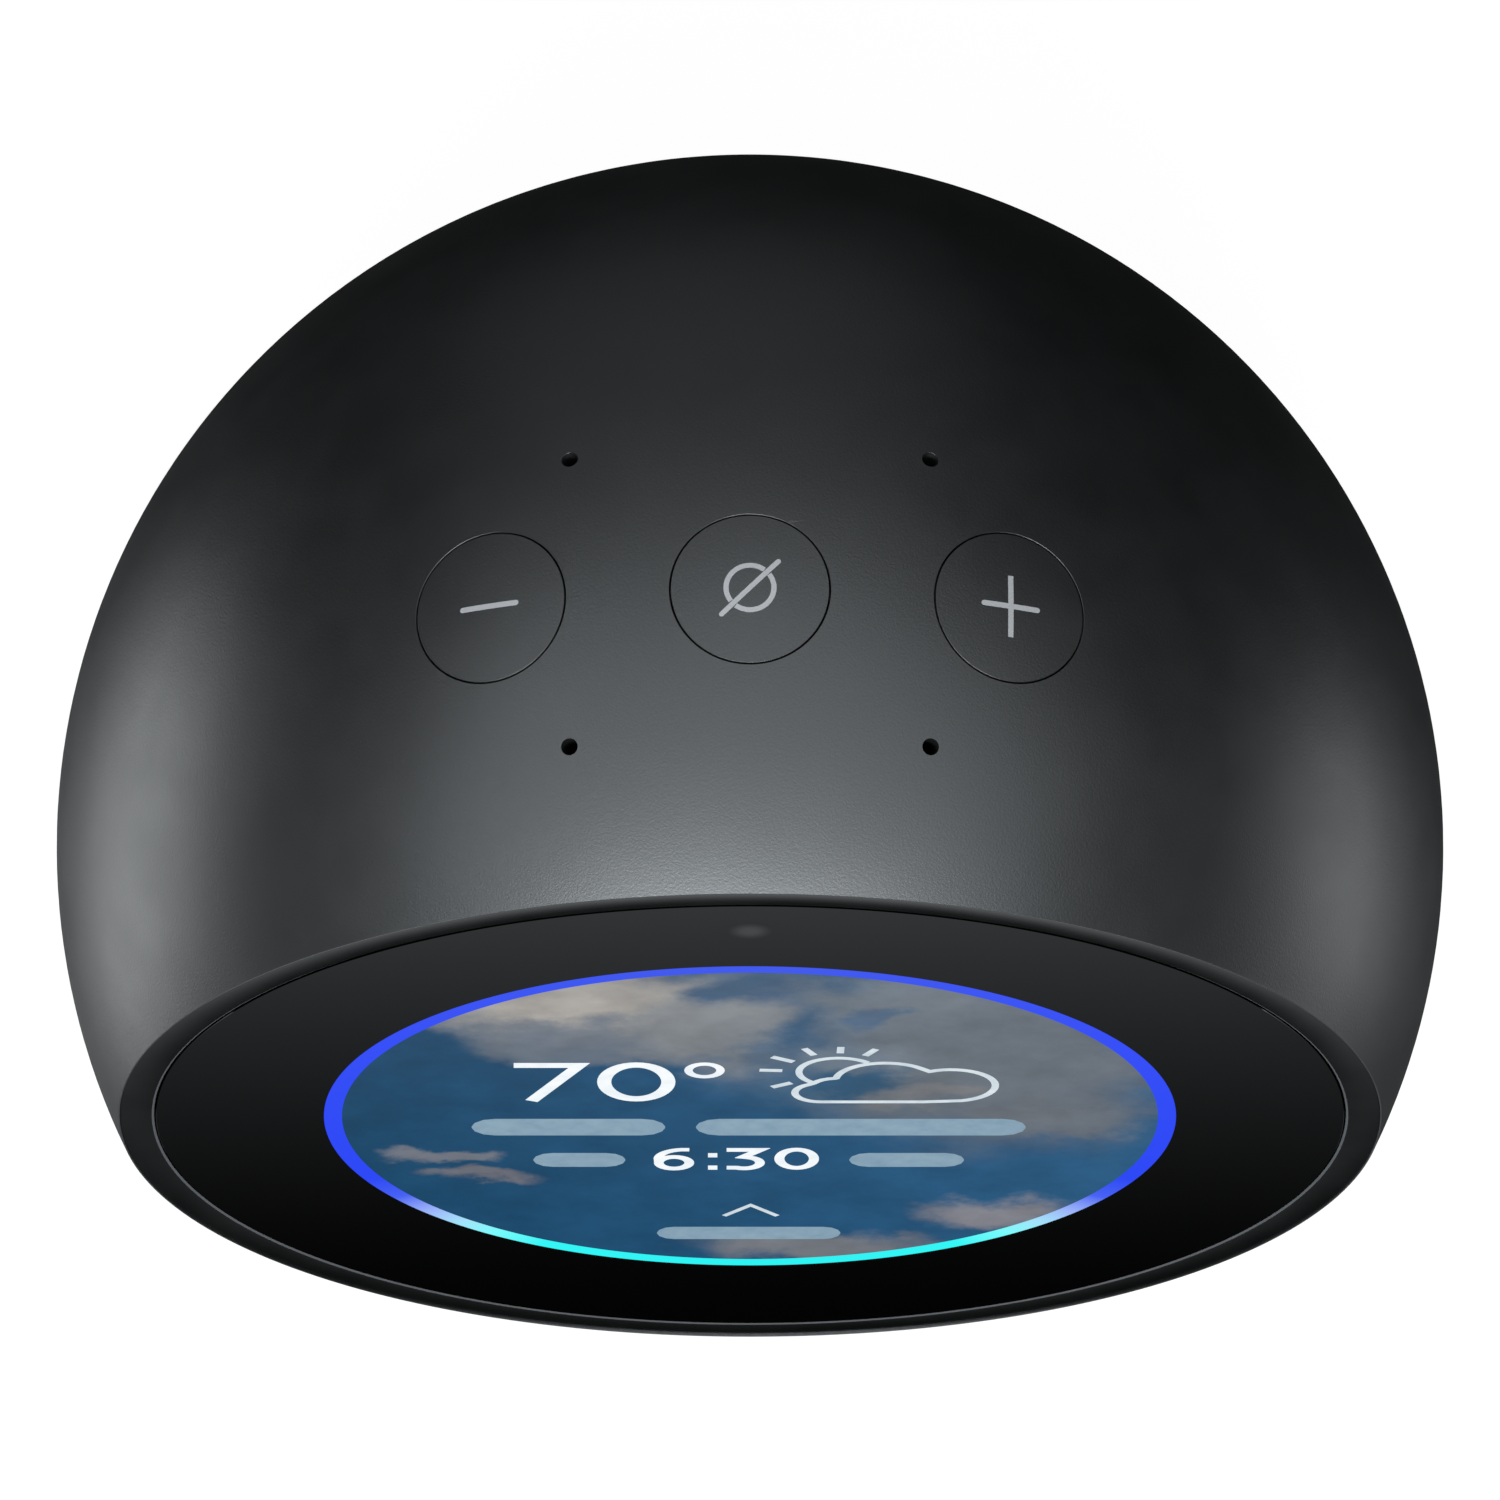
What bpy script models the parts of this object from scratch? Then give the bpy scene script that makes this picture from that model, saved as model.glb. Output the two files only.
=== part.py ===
"""A round smart display: a ball-shaped housing with a tilted round screen in front,
three flush buttons on top, a speaker that fires down, and sockets at the back.

Metres, +Z up. The front faces -Y. The origin is the middle of the rubber foot's
underside, straight below the ball's centre.
"""
from math import acos, cos, pi, radians, sin, sqrt

import bmesh
import bpy
from mathutils import Euler, Matrix, Vector

# ---- the ball and its screen -------------------------------------------------
BALL_R = 0.052              # outer radius of the housing
BALL_HEIGHT = 0.045         # height of the ball's centre above the table
WALL = 0.0022               # housing wall
SCREEN_TILT = radians(24.7)  # how far the screen looks up from the horizontal
RIM_DEPTH = 0.0216          # ball centre to the plane of the housing's front rim
GAP = 0.0003                # clearance between pieces that rest on each other
FIT = 0.00025               # clearance round a sliding button

GLASS_R = 0.04445
GLASS_FACE = 0.02155        # ball centre to the face of the cover glass
GLASS_THICK = 0.0012
RING_IN_R = 0.04465
RING_OUT_R = 0.0467
RING_FALL = 0.0001          # the trim ring's face falls back towards the housing
SCREEN_R = 0.0334

# ---- buttons and microphones ---------------------------------------------------
TOP_LEAN = radians(25.7)    # the middle button's axis leans back from vertical
BUTTON_STEP = radians(21.87)  # angle from the middle button to each side button
BUTTON_R = 0.0058
BUTTON_FLANGE_R = 0.0070
BUTTON_TRAVEL = 0.0005
MIC_ACROSS = 0.0134         # microphone holes, measured from the middle button's axis
MIC_ALONG = 0.0115
MIC_HOLE_R = 0.00063

# ---- sockets and foot ------------------------------------------------------------
PORT_DROP = radians(22.0)   # the sockets' axis points down from the horizontal
PANEL_SIZE = (0.0294, 0.0124)
PANEL_FLOOR = 0.0483        # ball centre to the recessed face round the sockets
POWER_X = -0.0068
AUDIO_X = 0.0072
FOOT_R = 0.0252
SHELL_BOTTOM = 0.0044       # height of the housing's lower edge

# ---- speaker -----------------------------------------------------------------------
SPEAKER_Y = 0.005           # the speaker stands behind the ball's centre
CONE_TRAVEL = 0.0008

ROUND_STEPS = 48            # facets round a large turned piece
SMALL_STEPS = 24
TINY_STEPS = 12

CENTRE = Vector((0.0, 0.0, BALL_HEIGHT))
INNER_R = BALL_R - WALL

# how a slab's outline (a, b) and its thickness h lie in its frame
FLAT = Matrix.Identity(4)                                            # (a, b, h)
ALONG_X = Matrix(((0, 0, 1), (1, 0, 0), (0, 1, 0))).to_4x4()         # (h, a, b)
ALONG_Y = Matrix(((1, 0, 0), (0, 0, -1), (0, 1, 0))).to_4x4()        # (a, -h, b)


# ---- tools ---------------------------------------------------------------------------
def clear_scene():
    for obj in list(bpy.data.objects):
        bpy.data.objects.remove(obj, do_unlink=True)


def finish(name, colour, roughness, metallic=0.0):
    """A Principled material of one colour, given as 0 to 255 sRGB."""
    material = bpy.data.materials.new(name)
    material.use_nodes = True
    shader = material.node_tree.nodes["Principled BSDF"]
    linear = [(part / 255.0) ** 2.2 for part in colour]
    shader.inputs["Base Color"].default_value = (*linear, 1.0)
    shader.inputs["Roughness"].default_value = roughness
    shader.inputs["Metallic"].default_value = metallic
    material.diffuse_color = (*linear, 1.0)
    return material


def frame_at(name, turn):
    """An empty at the ball's centre whose Z axis points where a sub-assembly faces."""
    empty = bpy.data.objects.new(name, None)
    empty.location = CENTRE
    empty.rotation_euler = turn
    bpy.context.collection.objects.link(empty)
    return empty


def add_object(name, mesh, material, frame=None, at=(0.0, 0.0, 0.0)):
    mesh.materials.append(material)
    mesh.shade_smooth()
    mesh.set_sharp_from_angle(angle=radians(30.0))
    obj = bpy.data.objects.new(name, mesh)
    obj.parent = frame
    obj.location = at
    bpy.context.collection.objects.link(obj)
    return obj


def to_mesh(name, bm):
    bmesh.ops.remove_doubles(bm, verts=bm.verts, dist=1e-6)
    bmesh.ops.recalc_face_normals(bm, faces=bm.faces)
    mesh = bpy.data.meshes.new(name)
    bm.to_mesh(mesh)
    bm.free()
    return mesh


def turned_mesh(name, profile, steps):
    """Turns (radius, height) points about Z. A profile off the axis is closed into a ring."""
    bm = bmesh.new()
    verts = [bm.verts.new((radius, 0.0, height)) for radius, height in profile]
    edges = [bm.edges.new(pair) for pair in zip(verts, verts[1:])]
    if profile[0][0] > 0.0:
        edges.append(bm.edges.new((verts[-1], verts[0])))
    bmesh.ops.spin(bm, geom=verts + edges, cent=(0, 0, 0), axis=(0, 0, 1), dvec=(0, 0, 0),
                   angle=2 * pi, steps=steps, use_merge=True, use_duplicate=False)
    return to_mesh(name, bm)


def turned(name, profile, steps, material, frame=None, at=(0.0, 0.0, 0.0)):
    return add_object(name, turned_mesh(name, profile, steps), material, frame, at)


def tube_profile(inner, outer, low, high):
    return [(inner, low), (outer, low), (outer, high), (inner, high)]


def slab(name, outline, low, high, material, frame=None, at=(0.0, 0.0, 0.0), lie=FLAT):
    """Extrudes an outline from one thickness to another as one closed slab."""
    bm = bmesh.new()
    base = bm.faces.new([bm.verts.new((a, b, low)) for a, b in outline])
    top = bmesh.ops.extrude_face_region(bm, geom=[base])
    moved = [item for item in top["geom"] if isinstance(item, bmesh.types.BMVert)]
    bmesh.ops.translate(bm, verts=moved, vec=(0.0, 0.0, high - low))
    mesh = to_mesh(name, bm)
    mesh.transform(lie)
    return add_object(name, mesh, material, frame, at)


def disc(name, radius, low, high, steps, material, frame=None, at=(0.0, 0.0, 0.0)):
    """A round slab or pin. Its first corner is half a facet off, clear of its neighbours'."""
    return slab(name, around(steps, radius, pi / steps), low, high, material, frame, at)


def around(count, radius, first=0.0):
    """Evenly spaced (x, y) places on a circle."""
    return [(radius * cos(first + 2 * pi * index / count),
             radius * sin(first + 2 * pi * index / count)) for index in range(count)]


def rounded_box(width, height, radius, steps=3, middle=(0.0, 0.0)):
    """The outline of a rectangle with round corners."""
    points = []
    for corner, (side, end) in enumerate(((1, 1), (-1, 1), (-1, -1), (1, -1))):
        for step in range(steps + 1):
            angle = (corner + step / steps) * pi / 2
            points.append((middle[0] + side * (width / 2 - radius) + radius * cos(angle),
                           middle[1] + end * (height / 2 - radius) + radius * sin(angle)))
    return points


def ribbon_outline(route, thickness):
    """A strip of even thickness that follows a route of (a, b) points."""
    sides = ([], [])
    for index, here in enumerate(route):
        before = Vector(route[max(index - 1, 0)])
        after = Vector(route[min(index + 1, len(route) - 1)])
        along = (after - before).normalized()
        across = Vector((-along.y, along.x)) * thickness / 2
        sides[0].append(tuple(Vector(here) + across))
        sides[1].append(tuple(Vector(here) - across))
    return sides[0] + sides[1][::-1]


def combine(target, tool, operation="DIFFERENCE"):
    """Cuts, joins or trims a piece with a tool, which is then left out of the object."""
    tool.hide_render = True
    tool.display_type = "WIRE"
    change = target.modifiers.new(tool.name, "BOOLEAN")
    change.operation = operation
    change.object = tool


def drill(target, name, radius, low, high, frame, at=(0.0, 0.0, 0.0), steps=TINY_STEPS):
    """A round hole along the frame's Z axis."""
    combine(target, disc(name, radius, low, high, steps, TOOL, frame, at))


def sphere_arc(radius, start, end, steps):
    """(radius, height) points on a sphere from one polar angle to another."""
    return [(radius * sin(start + (end - start) * step / steps),
             radius * cos(start + (end - start) * step / steps)) for step in range(steps + 1)]


clear_scene()

# ---- materials ---------------------------------------------------------------------------
SHELL_ABS = finish("shell_abs", (34, 37, 40), 0.45)
TRIM_ABS = finish("trim_abs", (22, 23, 26), 0.32)
GLASS = finish("cover_glass_black", (6, 7, 8), 0.05)
LCD = finish("lcd_glass", (24, 60, 104), 0.15)
DIFFUSER = finish("light_guide_acrylic", (226, 230, 232), 0.35)
STEEL = finish("stamped_steel", (150, 152, 155), 0.35, 1.0)
ALUMINIUM = finish("cast_aluminium", (132, 135, 140), 0.45, 1.0)
INNER_ABS = finish("inner_abs", (58, 60, 64), 0.6)
CIRCUIT = finish("circuit_board", (16, 74, 52), 0.5)
POLYIMIDE = finish("polyimide_flex", (176, 112, 34), 0.4)
SILICONE = finish("silicone_rubber", (24, 24, 25), 0.85)
SWITCH_PLASTIC = finish("switch_nylon", (30, 30, 32), 0.5)
PAPER = finish("pressed_paper", (40, 38, 36), 0.9)
FERRITE = finish("plated_magnet", (118, 120, 124), 0.3, 1.0)
COPPER = finish("copper_coil", (176, 98, 52), 0.35, 1.0)
BRASS = finish("plated_brass", (196, 176, 120), 0.25, 1.0)
TOOL = finish("cutting_tool", (200, 60, 60), 0.5)

# ---- frames --------------------------------------------------------------------------------
FRONT = frame_at("front_frame", (pi / 2 - SCREEN_TILT, 0.0, 0.0))
PORTS = frame_at("port_frame", (-pi / 2 - PORT_DROP, 0.0, 0.0))
TOP = frame_at("top_frame", (-TOP_LEAN, 0.0, 0.0))
BUTTON_ANGLES = {"minus": -BUTTON_STEP, "mute": 0.0, "plus": BUTTON_STEP}
BUTTON_FRAMES = {}
for button, angle in BUTTON_ANGLES.items():
    turn = Euler((-TOP_LEAN, 0.0, 0.0)).to_matrix() @ Euler((0.0, angle, 0.0)).to_matrix()
    BUTTON_FRAMES[button] = frame_at(button + "_frame", turn.to_euler())
MIC_FRAMES = []
for side, end in ((-1, 1), (1, 1), (1, -1), (-1, -1)):
    across, along = side * MIC_ACROSS, end * MIC_ALONG
    outward = Vector((across, along, sqrt(BALL_R ** 2 - across ** 2 - along ** 2)))
    turn = Euler((-TOP_LEAN, 0.0, 0.0)).to_matrix() @ outward.to_track_quat("Z", "Y").to_matrix()
    MIC_FRAMES.append(frame_at("mic_%d_frame" % (len(MIC_FRAMES) + 1), turn.to_euler()))


# ---- housing ---------------------------------------------------------------------------------
RIM_CHAMFER = 0.00015
SEAT_R = 0.0456             # inner radius of the shelf that the trim ring sits on
SEAT_DEPTH = 0.0193
SEAT_THICK = 0.0015
INNER_EDGE_R = 0.0170       # where the inside of the ball starts, below the shelf
DRILL_LOW, DRILL_HIGH = 0.045, 0.056    # a drill's reach through the housing wall
WINDOW_CORNER = 0.0043


def make_shell():
    """The ball, open in front and below, with its holes for buttons, sound and sockets."""
    rim_angle = acos((RIM_DEPTH - RIM_CHAMFER) / BALL_R)
    back_angle = pi / 2 + (pi / 2 - SCREEN_TILT)    # where the ball reaches furthest back
    outer = (sphere_arc(BALL_R, rim_angle, pi / 2, 3)
             + sphere_arc(BALL_R, pi / 2, back_angle, 8)[1:]
             + sphere_arc(BALL_R, back_angle, pi, 3)[1:])
    lip_r = RING_OUT_R + FIT
    inner_start = acos(INNER_EDGE_R / INNER_R)
    inner = sphere_arc(INNER_R, inner_start, pi, 12)
    front = [(SEAT_R, SEAT_DEPTH - SEAT_THICK), (SEAT_R, SEAT_DEPTH), (lip_r, SEAT_DEPTH),
             (lip_r, RIM_DEPTH), (sqrt(BALL_R ** 2 - RIM_DEPTH ** 2) - RIM_CHAMFER, RIM_DEPTH)]
    outer[-1] = (0.0, -BALL_R)
    inner[-1] = (0.0, -INNER_R)
    shell = turned("shell", inner[::-1] + front + outer, ROUND_STEPS, SHELL_ABS, FRONT)

    below = slab("tool_shell_bottom", rounded_box(0.12, 0.12, 0.01), -0.02, SHELL_BOTTOM, TOOL)
    combine(shell, below)
    for name, frame in BUTTON_FRAMES.items():
        drill(shell, "tool_bore_" + name, BUTTON_R + FIT, DRILL_LOW, DRILL_HIGH, frame,
              steps=SMALL_STEPS)
    for index, frame in enumerate(MIC_FRAMES, 1):
        drill(shell, "tool_mic_%d" % index, MIC_HOLE_R, DRILL_LOW, DRILL_HIGH, frame, steps=10)
    window = rounded_box(PANEL_SIZE[0] + 2 * GAP, PANEL_SIZE[1] + 2 * GAP, WINDOW_CORNER)
    combine(shell, slab("tool_port_window", window, DRILL_LOW, DRILL_HIGH, TOOL, PORTS))


# ---- front assembly ------------------------------------------------------------------------------
GLASS_EDGE = 0.00025        # chamfer round the cover glass
RING_EDGE = 0.0002
LCD_THICK = 0.0015
GUIDE_THICK = 0.0013
TRAY_SHEET = 0.0010
TRAY_OUT_R = 0.0355
FLEX_THICK = 0.0003
CARRIER_IN_R = 0.0360
CARRIER_LOW = 0.0170
CAMERA_Y = 0.0389           # the camera above the screen's centre
CAMERA_BODY_R = 0.0030
BOSS_PLACES = around(4, 0.0402, first=pi / 4)
BOSS_R = 0.0030
BOSS_LOW = 0.0145
CHASSIS_R = 0.0434
CHASSIS_LOW = 0.0124
CHASSIS_HIGH = 0.0142
SCREW_HOLE_R = 0.0013
SCREW_HEAD_R = 0.0019
SCREW_HEAD_THICK = 0.0012
SCREW_R = 0.0010
SCREW_TIP = 0.0162
FLEX_SLOT_Y = -0.0350
BOARD_R = 0.0340
BOARD_LOW, BOARD_HIGH = 0.0084, 0.0100
SHIELD_SIZE = (0.024, 0.022)
SHIELD_THICK = 0.0022
FINS = 8
FIN_PITCH, FIN_THICK, FIN_REACH = 0.0036, 0.0012, 0.0028
FIN_ROOT = 0.0012
ANTENNA_X = 0.045


def make_cover():
    back = GLASS_FACE - GLASS_THICK
    glass = [(0.0, back), (GLASS_R, back), (GLASS_R, GLASS_FACE - GLASS_EDGE),
             (GLASS_R - GLASS_EDGE, GLASS_FACE), (0.0, GLASS_FACE)]
    turned("cover_glass", glass, ROUND_STEPS, GLASS, FRONT)
    ring = [(RING_IN_R, SEAT_DEPTH + GAP), (RING_OUT_R, SEAT_DEPTH + GAP),
            (RING_OUT_R, GLASS_FACE - RING_FALL), (RING_IN_R + RING_EDGE, GLASS_FACE),
            (RING_IN_R, GLASS_FACE - RING_EDGE)]
    turned("trim_ring", ring, ROUND_STEPS, TRIM_ABS, FRONT)
    return back


def make_display(glass_back):
    """The LCD, the light guide behind it and the pressed tray that holds both."""
    top = glass_back - GAP
    disc("lcd_panel", SCREEN_R, top - LCD_THICK, top, ROUND_STEPS, LCD, FRONT)
    guide_high = top - LCD_THICK - GAP
    guide_low = guide_high - GUIDE_THICK
    disc("light_guide", SCREEN_R, guide_low, guide_high, ROUND_STEPS, DIFFUSER, FRONT)
    wall_in = SCREEN_R + GAP
    floor = guide_low - GAP
    tray = [(0.0, floor - TRAY_SHEET), (TRAY_OUT_R, floor - TRAY_SHEET), (TRAY_OUT_R, top),
            (wall_in, top), (wall_in, floor), (0.0, floor)]
    turned("display_tray", tray, ROUND_STEPS, STEEL, FRONT)

    route = [(-0.020, 0.01490), (-0.0335, 0.01490), (FLEX_SLOT_Y, 0.01390), (FLEX_SLOT_Y, 0.01190),
             (-0.0335, 0.01090), (-0.0270, 0.01060)]
    slab("display_flex", ribbon_outline(route, FLEX_THICK), -0.006, 0.006, POLYIMIDE, FRONT,
         lie=ALONG_X)
    return top


def make_carrier(top):
    """The ring that the glass is bonded to, with four screw bosses and the camera's seat."""
    profile = tube_profile(CARRIER_IN_R, GLASS_R, CARRIER_LOW, top)
    carrier = turned("bezel_carrier", profile, ROUND_STEPS, INNER_ABS, FRONT)
    for index, (x, y) in enumerate(BOSS_PLACES, 1):
        boss = disc("tool_boss_%d" % index, BOSS_R, BOSS_LOW, CARRIER_LOW + 0.001, TINY_STEPS, TOOL,
                    FRONT, (x, y, 0.0))
        combine(carrier, boss, "UNION")
        drill(carrier, "tool_boss_hole_%d" % index, SCREW_HOLE_R, BOSS_LOW - 0.001, 0.0168, FRONT,
              (x, y, 0.0))
    drill(carrier, "tool_camera_seat", CAMERA_BODY_R + 0.0004, 0.014, 0.022, FRONT,
          (0.0, CAMERA_Y, 0.0), steps=SMALL_STEPS)

    lens = [(0.0, 0.0150), (CAMERA_BODY_R, 0.0150), (CAMERA_BODY_R, 0.0182), (0.0021, 0.0182),
            (0.0021, top), (0.0013, top), (0.0009, top - 0.0005), (0.0, top - 0.0003)]
    turned("camera_module", lens, SMALL_STEPS, SWITCH_PLASTIC, FRONT, (0.0, CAMERA_Y, 0.0))


def make_chassis():
    """The cast plate behind the screen, cut away where the button parts come close."""
    chassis = disc("chassis", CHASSIS_R, CHASSIS_LOW, CHASSIS_HIGH, ROUND_STEPS, ALUMINIUM, FRONT)
    combine(chassis, slab("tool_chassis_top", rounded_box(0.08, 0.02, 0.003), 0.010, 0.017, TOOL,
                          FRONT, (0.0, 0.0455, 0.0)))
    combine(chassis, slab("tool_flex_slot", rounded_box(0.014, 0.003, 0.001), 0.010, 0.017, TOOL,
                          FRONT, (0.0, FLEX_SLOT_Y, 0.0)))
    head_high = CHASSIS_LOW - GAP
    for index, (x, y) in enumerate(BOSS_PLACES, 1):
        drill(chassis, "tool_chassis_hole_%d" % index, SCREW_HOLE_R, 0.010, 0.017, FRONT, (x, y, 0.0))
        head_low = head_high - SCREW_HEAD_THICK
        screw = [(0.0, head_low), (SCREW_HEAD_R, head_low), (SCREW_HEAD_R, head_high),
                 (SCREW_R, head_high), (SCREW_R, SCREW_TIP), (0.0, SCREW_TIP)]
        turned("chassis_screw_%d" % index, screw, TINY_STEPS, STEEL, FRONT, (x, y, 0.0))


def make_electronics():
    """The main board behind the chassis, its shield can and heat sink, and the aerials."""
    slab("main_board", around(ROUND_STEPS, BOARD_R), BOARD_LOW, BOARD_HIGH, CIRCUIT, FRONT)
    shield_high = BOARD_LOW - GAP
    shield_low = shield_high - SHIELD_THICK
    slab("processor_shield", rounded_box(*SHIELD_SIZE, 0.0012), shield_low, shield_high, STEEL,
         FRONT, (0.0, 0.008, 0.0))

    sink_high = shield_low - GAP
    root = sink_high - FIN_ROOT
    tip = root - FIN_REACH
    half = FINS * FIN_PITCH / 2
    outline = [(-half, sink_high), (-half, root)]
    for index in range(FINS):
        left = index * FIN_PITCH - half + (FIN_PITCH - FIN_THICK) / 2
        right = left + FIN_THICK
        outline += [(left, root), (left, tip), (right, tip), (right, root)]
    outline += [(half, root), (half, sink_high)]
    slab("heat_sink", outline, -0.020, 0.004, ALUMINIUM, FRONT, lie=ALONG_Y)

    for name, side in (("left", -1), ("right", 1)):
        outline = rounded_box(0.014, 0.008, 0.001, middle=(0.005, 0.056))
        slab("wifi_antenna_" + name, outline, side * ANTENNA_X - GAP, side * ANTENNA_X + GAP,
             POLYIMIDE, lie=ALONG_X)


# ---- buttons and microphones ---------------------------------------------------------------------
STRIP_HALF = 0.0145         # half the button strip's length fore and aft
STRIP_FACE = 0.0439
STRIP_THICK = 0.0015
FLEX_FACE = 0.0445
SWITCH_FACE = 0.0467
PLUNGER_FACE = 0.0473
STEM_END = PLUNGER_FACE + GAP
STEM_R = 0.0016
FLANGE_THICK = 0.0008
PLUNGER_R = 0.0012
SWITCH_SIZE = 0.006
SWITCH_HOLE_R = 0.0015


def bent_strip(name, face, thickness, material):
    """A strip folded so that it lies square under each of the three buttons."""
    fold = BUTTON_STEP / 2
    end = BUTTON_STEP * 1.5

    def fold_points(distance):
        knee = distance / cos(fold)
        return [(knee * sin(angle), knee * cos(angle)) for angle in (-end, -fold, fold, end)]

    outline = fold_points(face) + fold_points(face - thickness)[::-1]
    slab(name, outline, -STRIP_HALF, STRIP_HALF, material, TOP, lie=ALONG_Y)


def make_buttons():
    edge_height = sqrt(BALL_R ** 2 - BUTTON_R ** 2)
    crown = sphere_arc(BALL_R, 0.0, acos(edge_height / BALL_R), 4)
    crown[0] = (0.0, BALL_R)
    flange_high = sqrt(INNER_R ** 2 - BUTTON_FLANGE_R ** 2) - GAP - 0.0001
    flange_low = flange_high - FLANGE_THICK
    cap = crown + [(BUTTON_R, flange_high), (BUTTON_FLANGE_R, flange_high), (BUTTON_FLANGE_R, flange_low),
                   (STEM_R, flange_low), (STEM_R, STEM_END), (0.0, STEM_END)]
    plunger_low = FLEX_FACE + GAP + BUTTON_TRAVEL + GAP
    for button, frame in BUTTON_FRAMES.items():
        turned("button_" + button, cap, SMALL_STEPS, SHELL_ABS, frame)
        disc("plunger_" + button, PLUNGER_R, plunger_low, PLUNGER_FACE, TINY_STEPS, SWITCH_PLASTIC, frame)
        body = slab("switch_" + button, rounded_box(SWITCH_SIZE, SWITCH_SIZE, 0.0006), FLEX_FACE + GAP,
                    SWITCH_FACE, STEEL, frame)
        drill(body, "tool_switch_" + button, SWITCH_HOLE_R, 0.044, 0.048, frame)
    bent_strip("button_carrier", STRIP_FACE, STRIP_THICK, INNER_ABS)
    bent_strip("button_flex", FLEX_FACE, FLEX_THICK, POLYIMIDE)


def make_microphones():
    """Under each pinhole a rubber boot leads the sound down to its microphone."""
    for index, frame in enumerate(MIC_FRAMES, 1):
        turned("mic_boot_%d" % index, tube_profile(0.0007, 0.0019, 0.0478, INNER_R - GAP), TINY_STEPS,
               SILICONE, frame)
        slab("microphone_%d" % index, rounded_box(0.0028, 0.0036, 0.0003), 0.0467, 0.0475, BRASS, frame)


# ---- speaker ---------------------------------------------------------------------------------------
SPEAKER_BASE = 0.0073       # height of the speaker's mounting flange
MAGNET_LOW = 0.0172


def make_speaker():
    at = (0.0, SPEAKER_Y, 0.0)
    low = SPEAKER_BASE
    basket = [(0.0162, low), (0.0190, low), (0.0190, low + 0.0012), (0.0172, low + 0.0014),
              (0.0120, MAGNET_LOW - GAP), (0.0078, MAGNET_LOW - GAP), (0.0078, MAGNET_LOW - 0.0014),
              (0.0110, MAGNET_LOW - 0.0014), (0.0158, low + 0.0020)]
    turned("speaker_frame", basket, SMALL_STEPS, STEEL, at=at)
    coil_high = 0.0196
    groove = coil_high + CONE_TRAVEL + 0.0014
    magnet = [(0.0, MAGNET_LOW), (0.0044, MAGNET_LOW), (0.0044, groove), (0.0066, groove),
              (0.0066, MAGNET_LOW), (0.0112, MAGNET_LOW), (0.0112, 0.0246), (0.0, 0.0246)]
    turned("speaker_magnet", magnet, SMALL_STEPS, FERRITE, at=at)

    surround = [(0.0138, low + 0.0010), (0.0144, low + 0.0003), (0.0152, low + 0.0003),
                (0.0157, low + 0.0010), (0.0155, low + 0.0014), (0.0151, low + 0.0008),
                (0.0145, low + 0.0008), (0.0140, low + 0.0014)]
    turned("speaker_surround", surround, SMALL_STEPS, SILICONE, at=at)
    cone = [(0.0054, 0.0128), (0.0132, low + 0.0012), (0.0134, low + 0.0017), (0.0060, 0.0132),
            (0.0054, 0.0132)]
    turned("speaker_cone", cone, SMALL_STEPS, PAPER, at=at)
    turned("voice_coil", tube_profile(0.0050, 0.0058, 0.0135, coil_high), SMALL_STEPS, COPPER, at=at)
    dome_r, dome_drop = 0.0050, 0.0014
    dome = [(0.0, 0.0125 - dome_drop), (dome_r * 0.6, 0.0125 - dome_drop * 0.7), (dome_r, 0.0125),
            (dome_r, 0.0129), (dome_r * 0.6, 0.0129 - dome_drop * 0.7), (0.0, 0.0129 - dome_drop)]
    turned("dust_cap", dome, SMALL_STEPS, PAPER, at=at)

    chamber = [(0.0, 0.0257), (0.0188, 0.0257), (0.0194, 0.0251), (0.0194, low + 0.0018),
               (0.0205, low + 0.0018), (0.0205, 0.0262), (0.0195, 0.0272), (0.0, 0.0272)]
    turned("speaker_chamber", chamber, SMALL_STEPS, INNER_ABS, at=at)


# ---- sockets -----------------------------------------------------------------------------------------
PANEL_THICK = 0.0015
PANEL_CORNER = 0.0040
POCKET_WALL = 0.0012
JACK_FACE = PANEL_FLOOR - PANEL_THICK - GAP
POWER_BODY, POWER_HOLE_R, POWER_COLLAR_R, POWER_BORE_R = 0.0092, 0.0037, 0.0034, 0.00285
AUDIO_BODY, AUDIO_HOLE_R, AUDIO_NOZZLE_R, AUDIO_BORE_R = (0.0074, 0.0070), 0.0026, 0.0023, 0.00178
PIN_R = 0.00105


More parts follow.
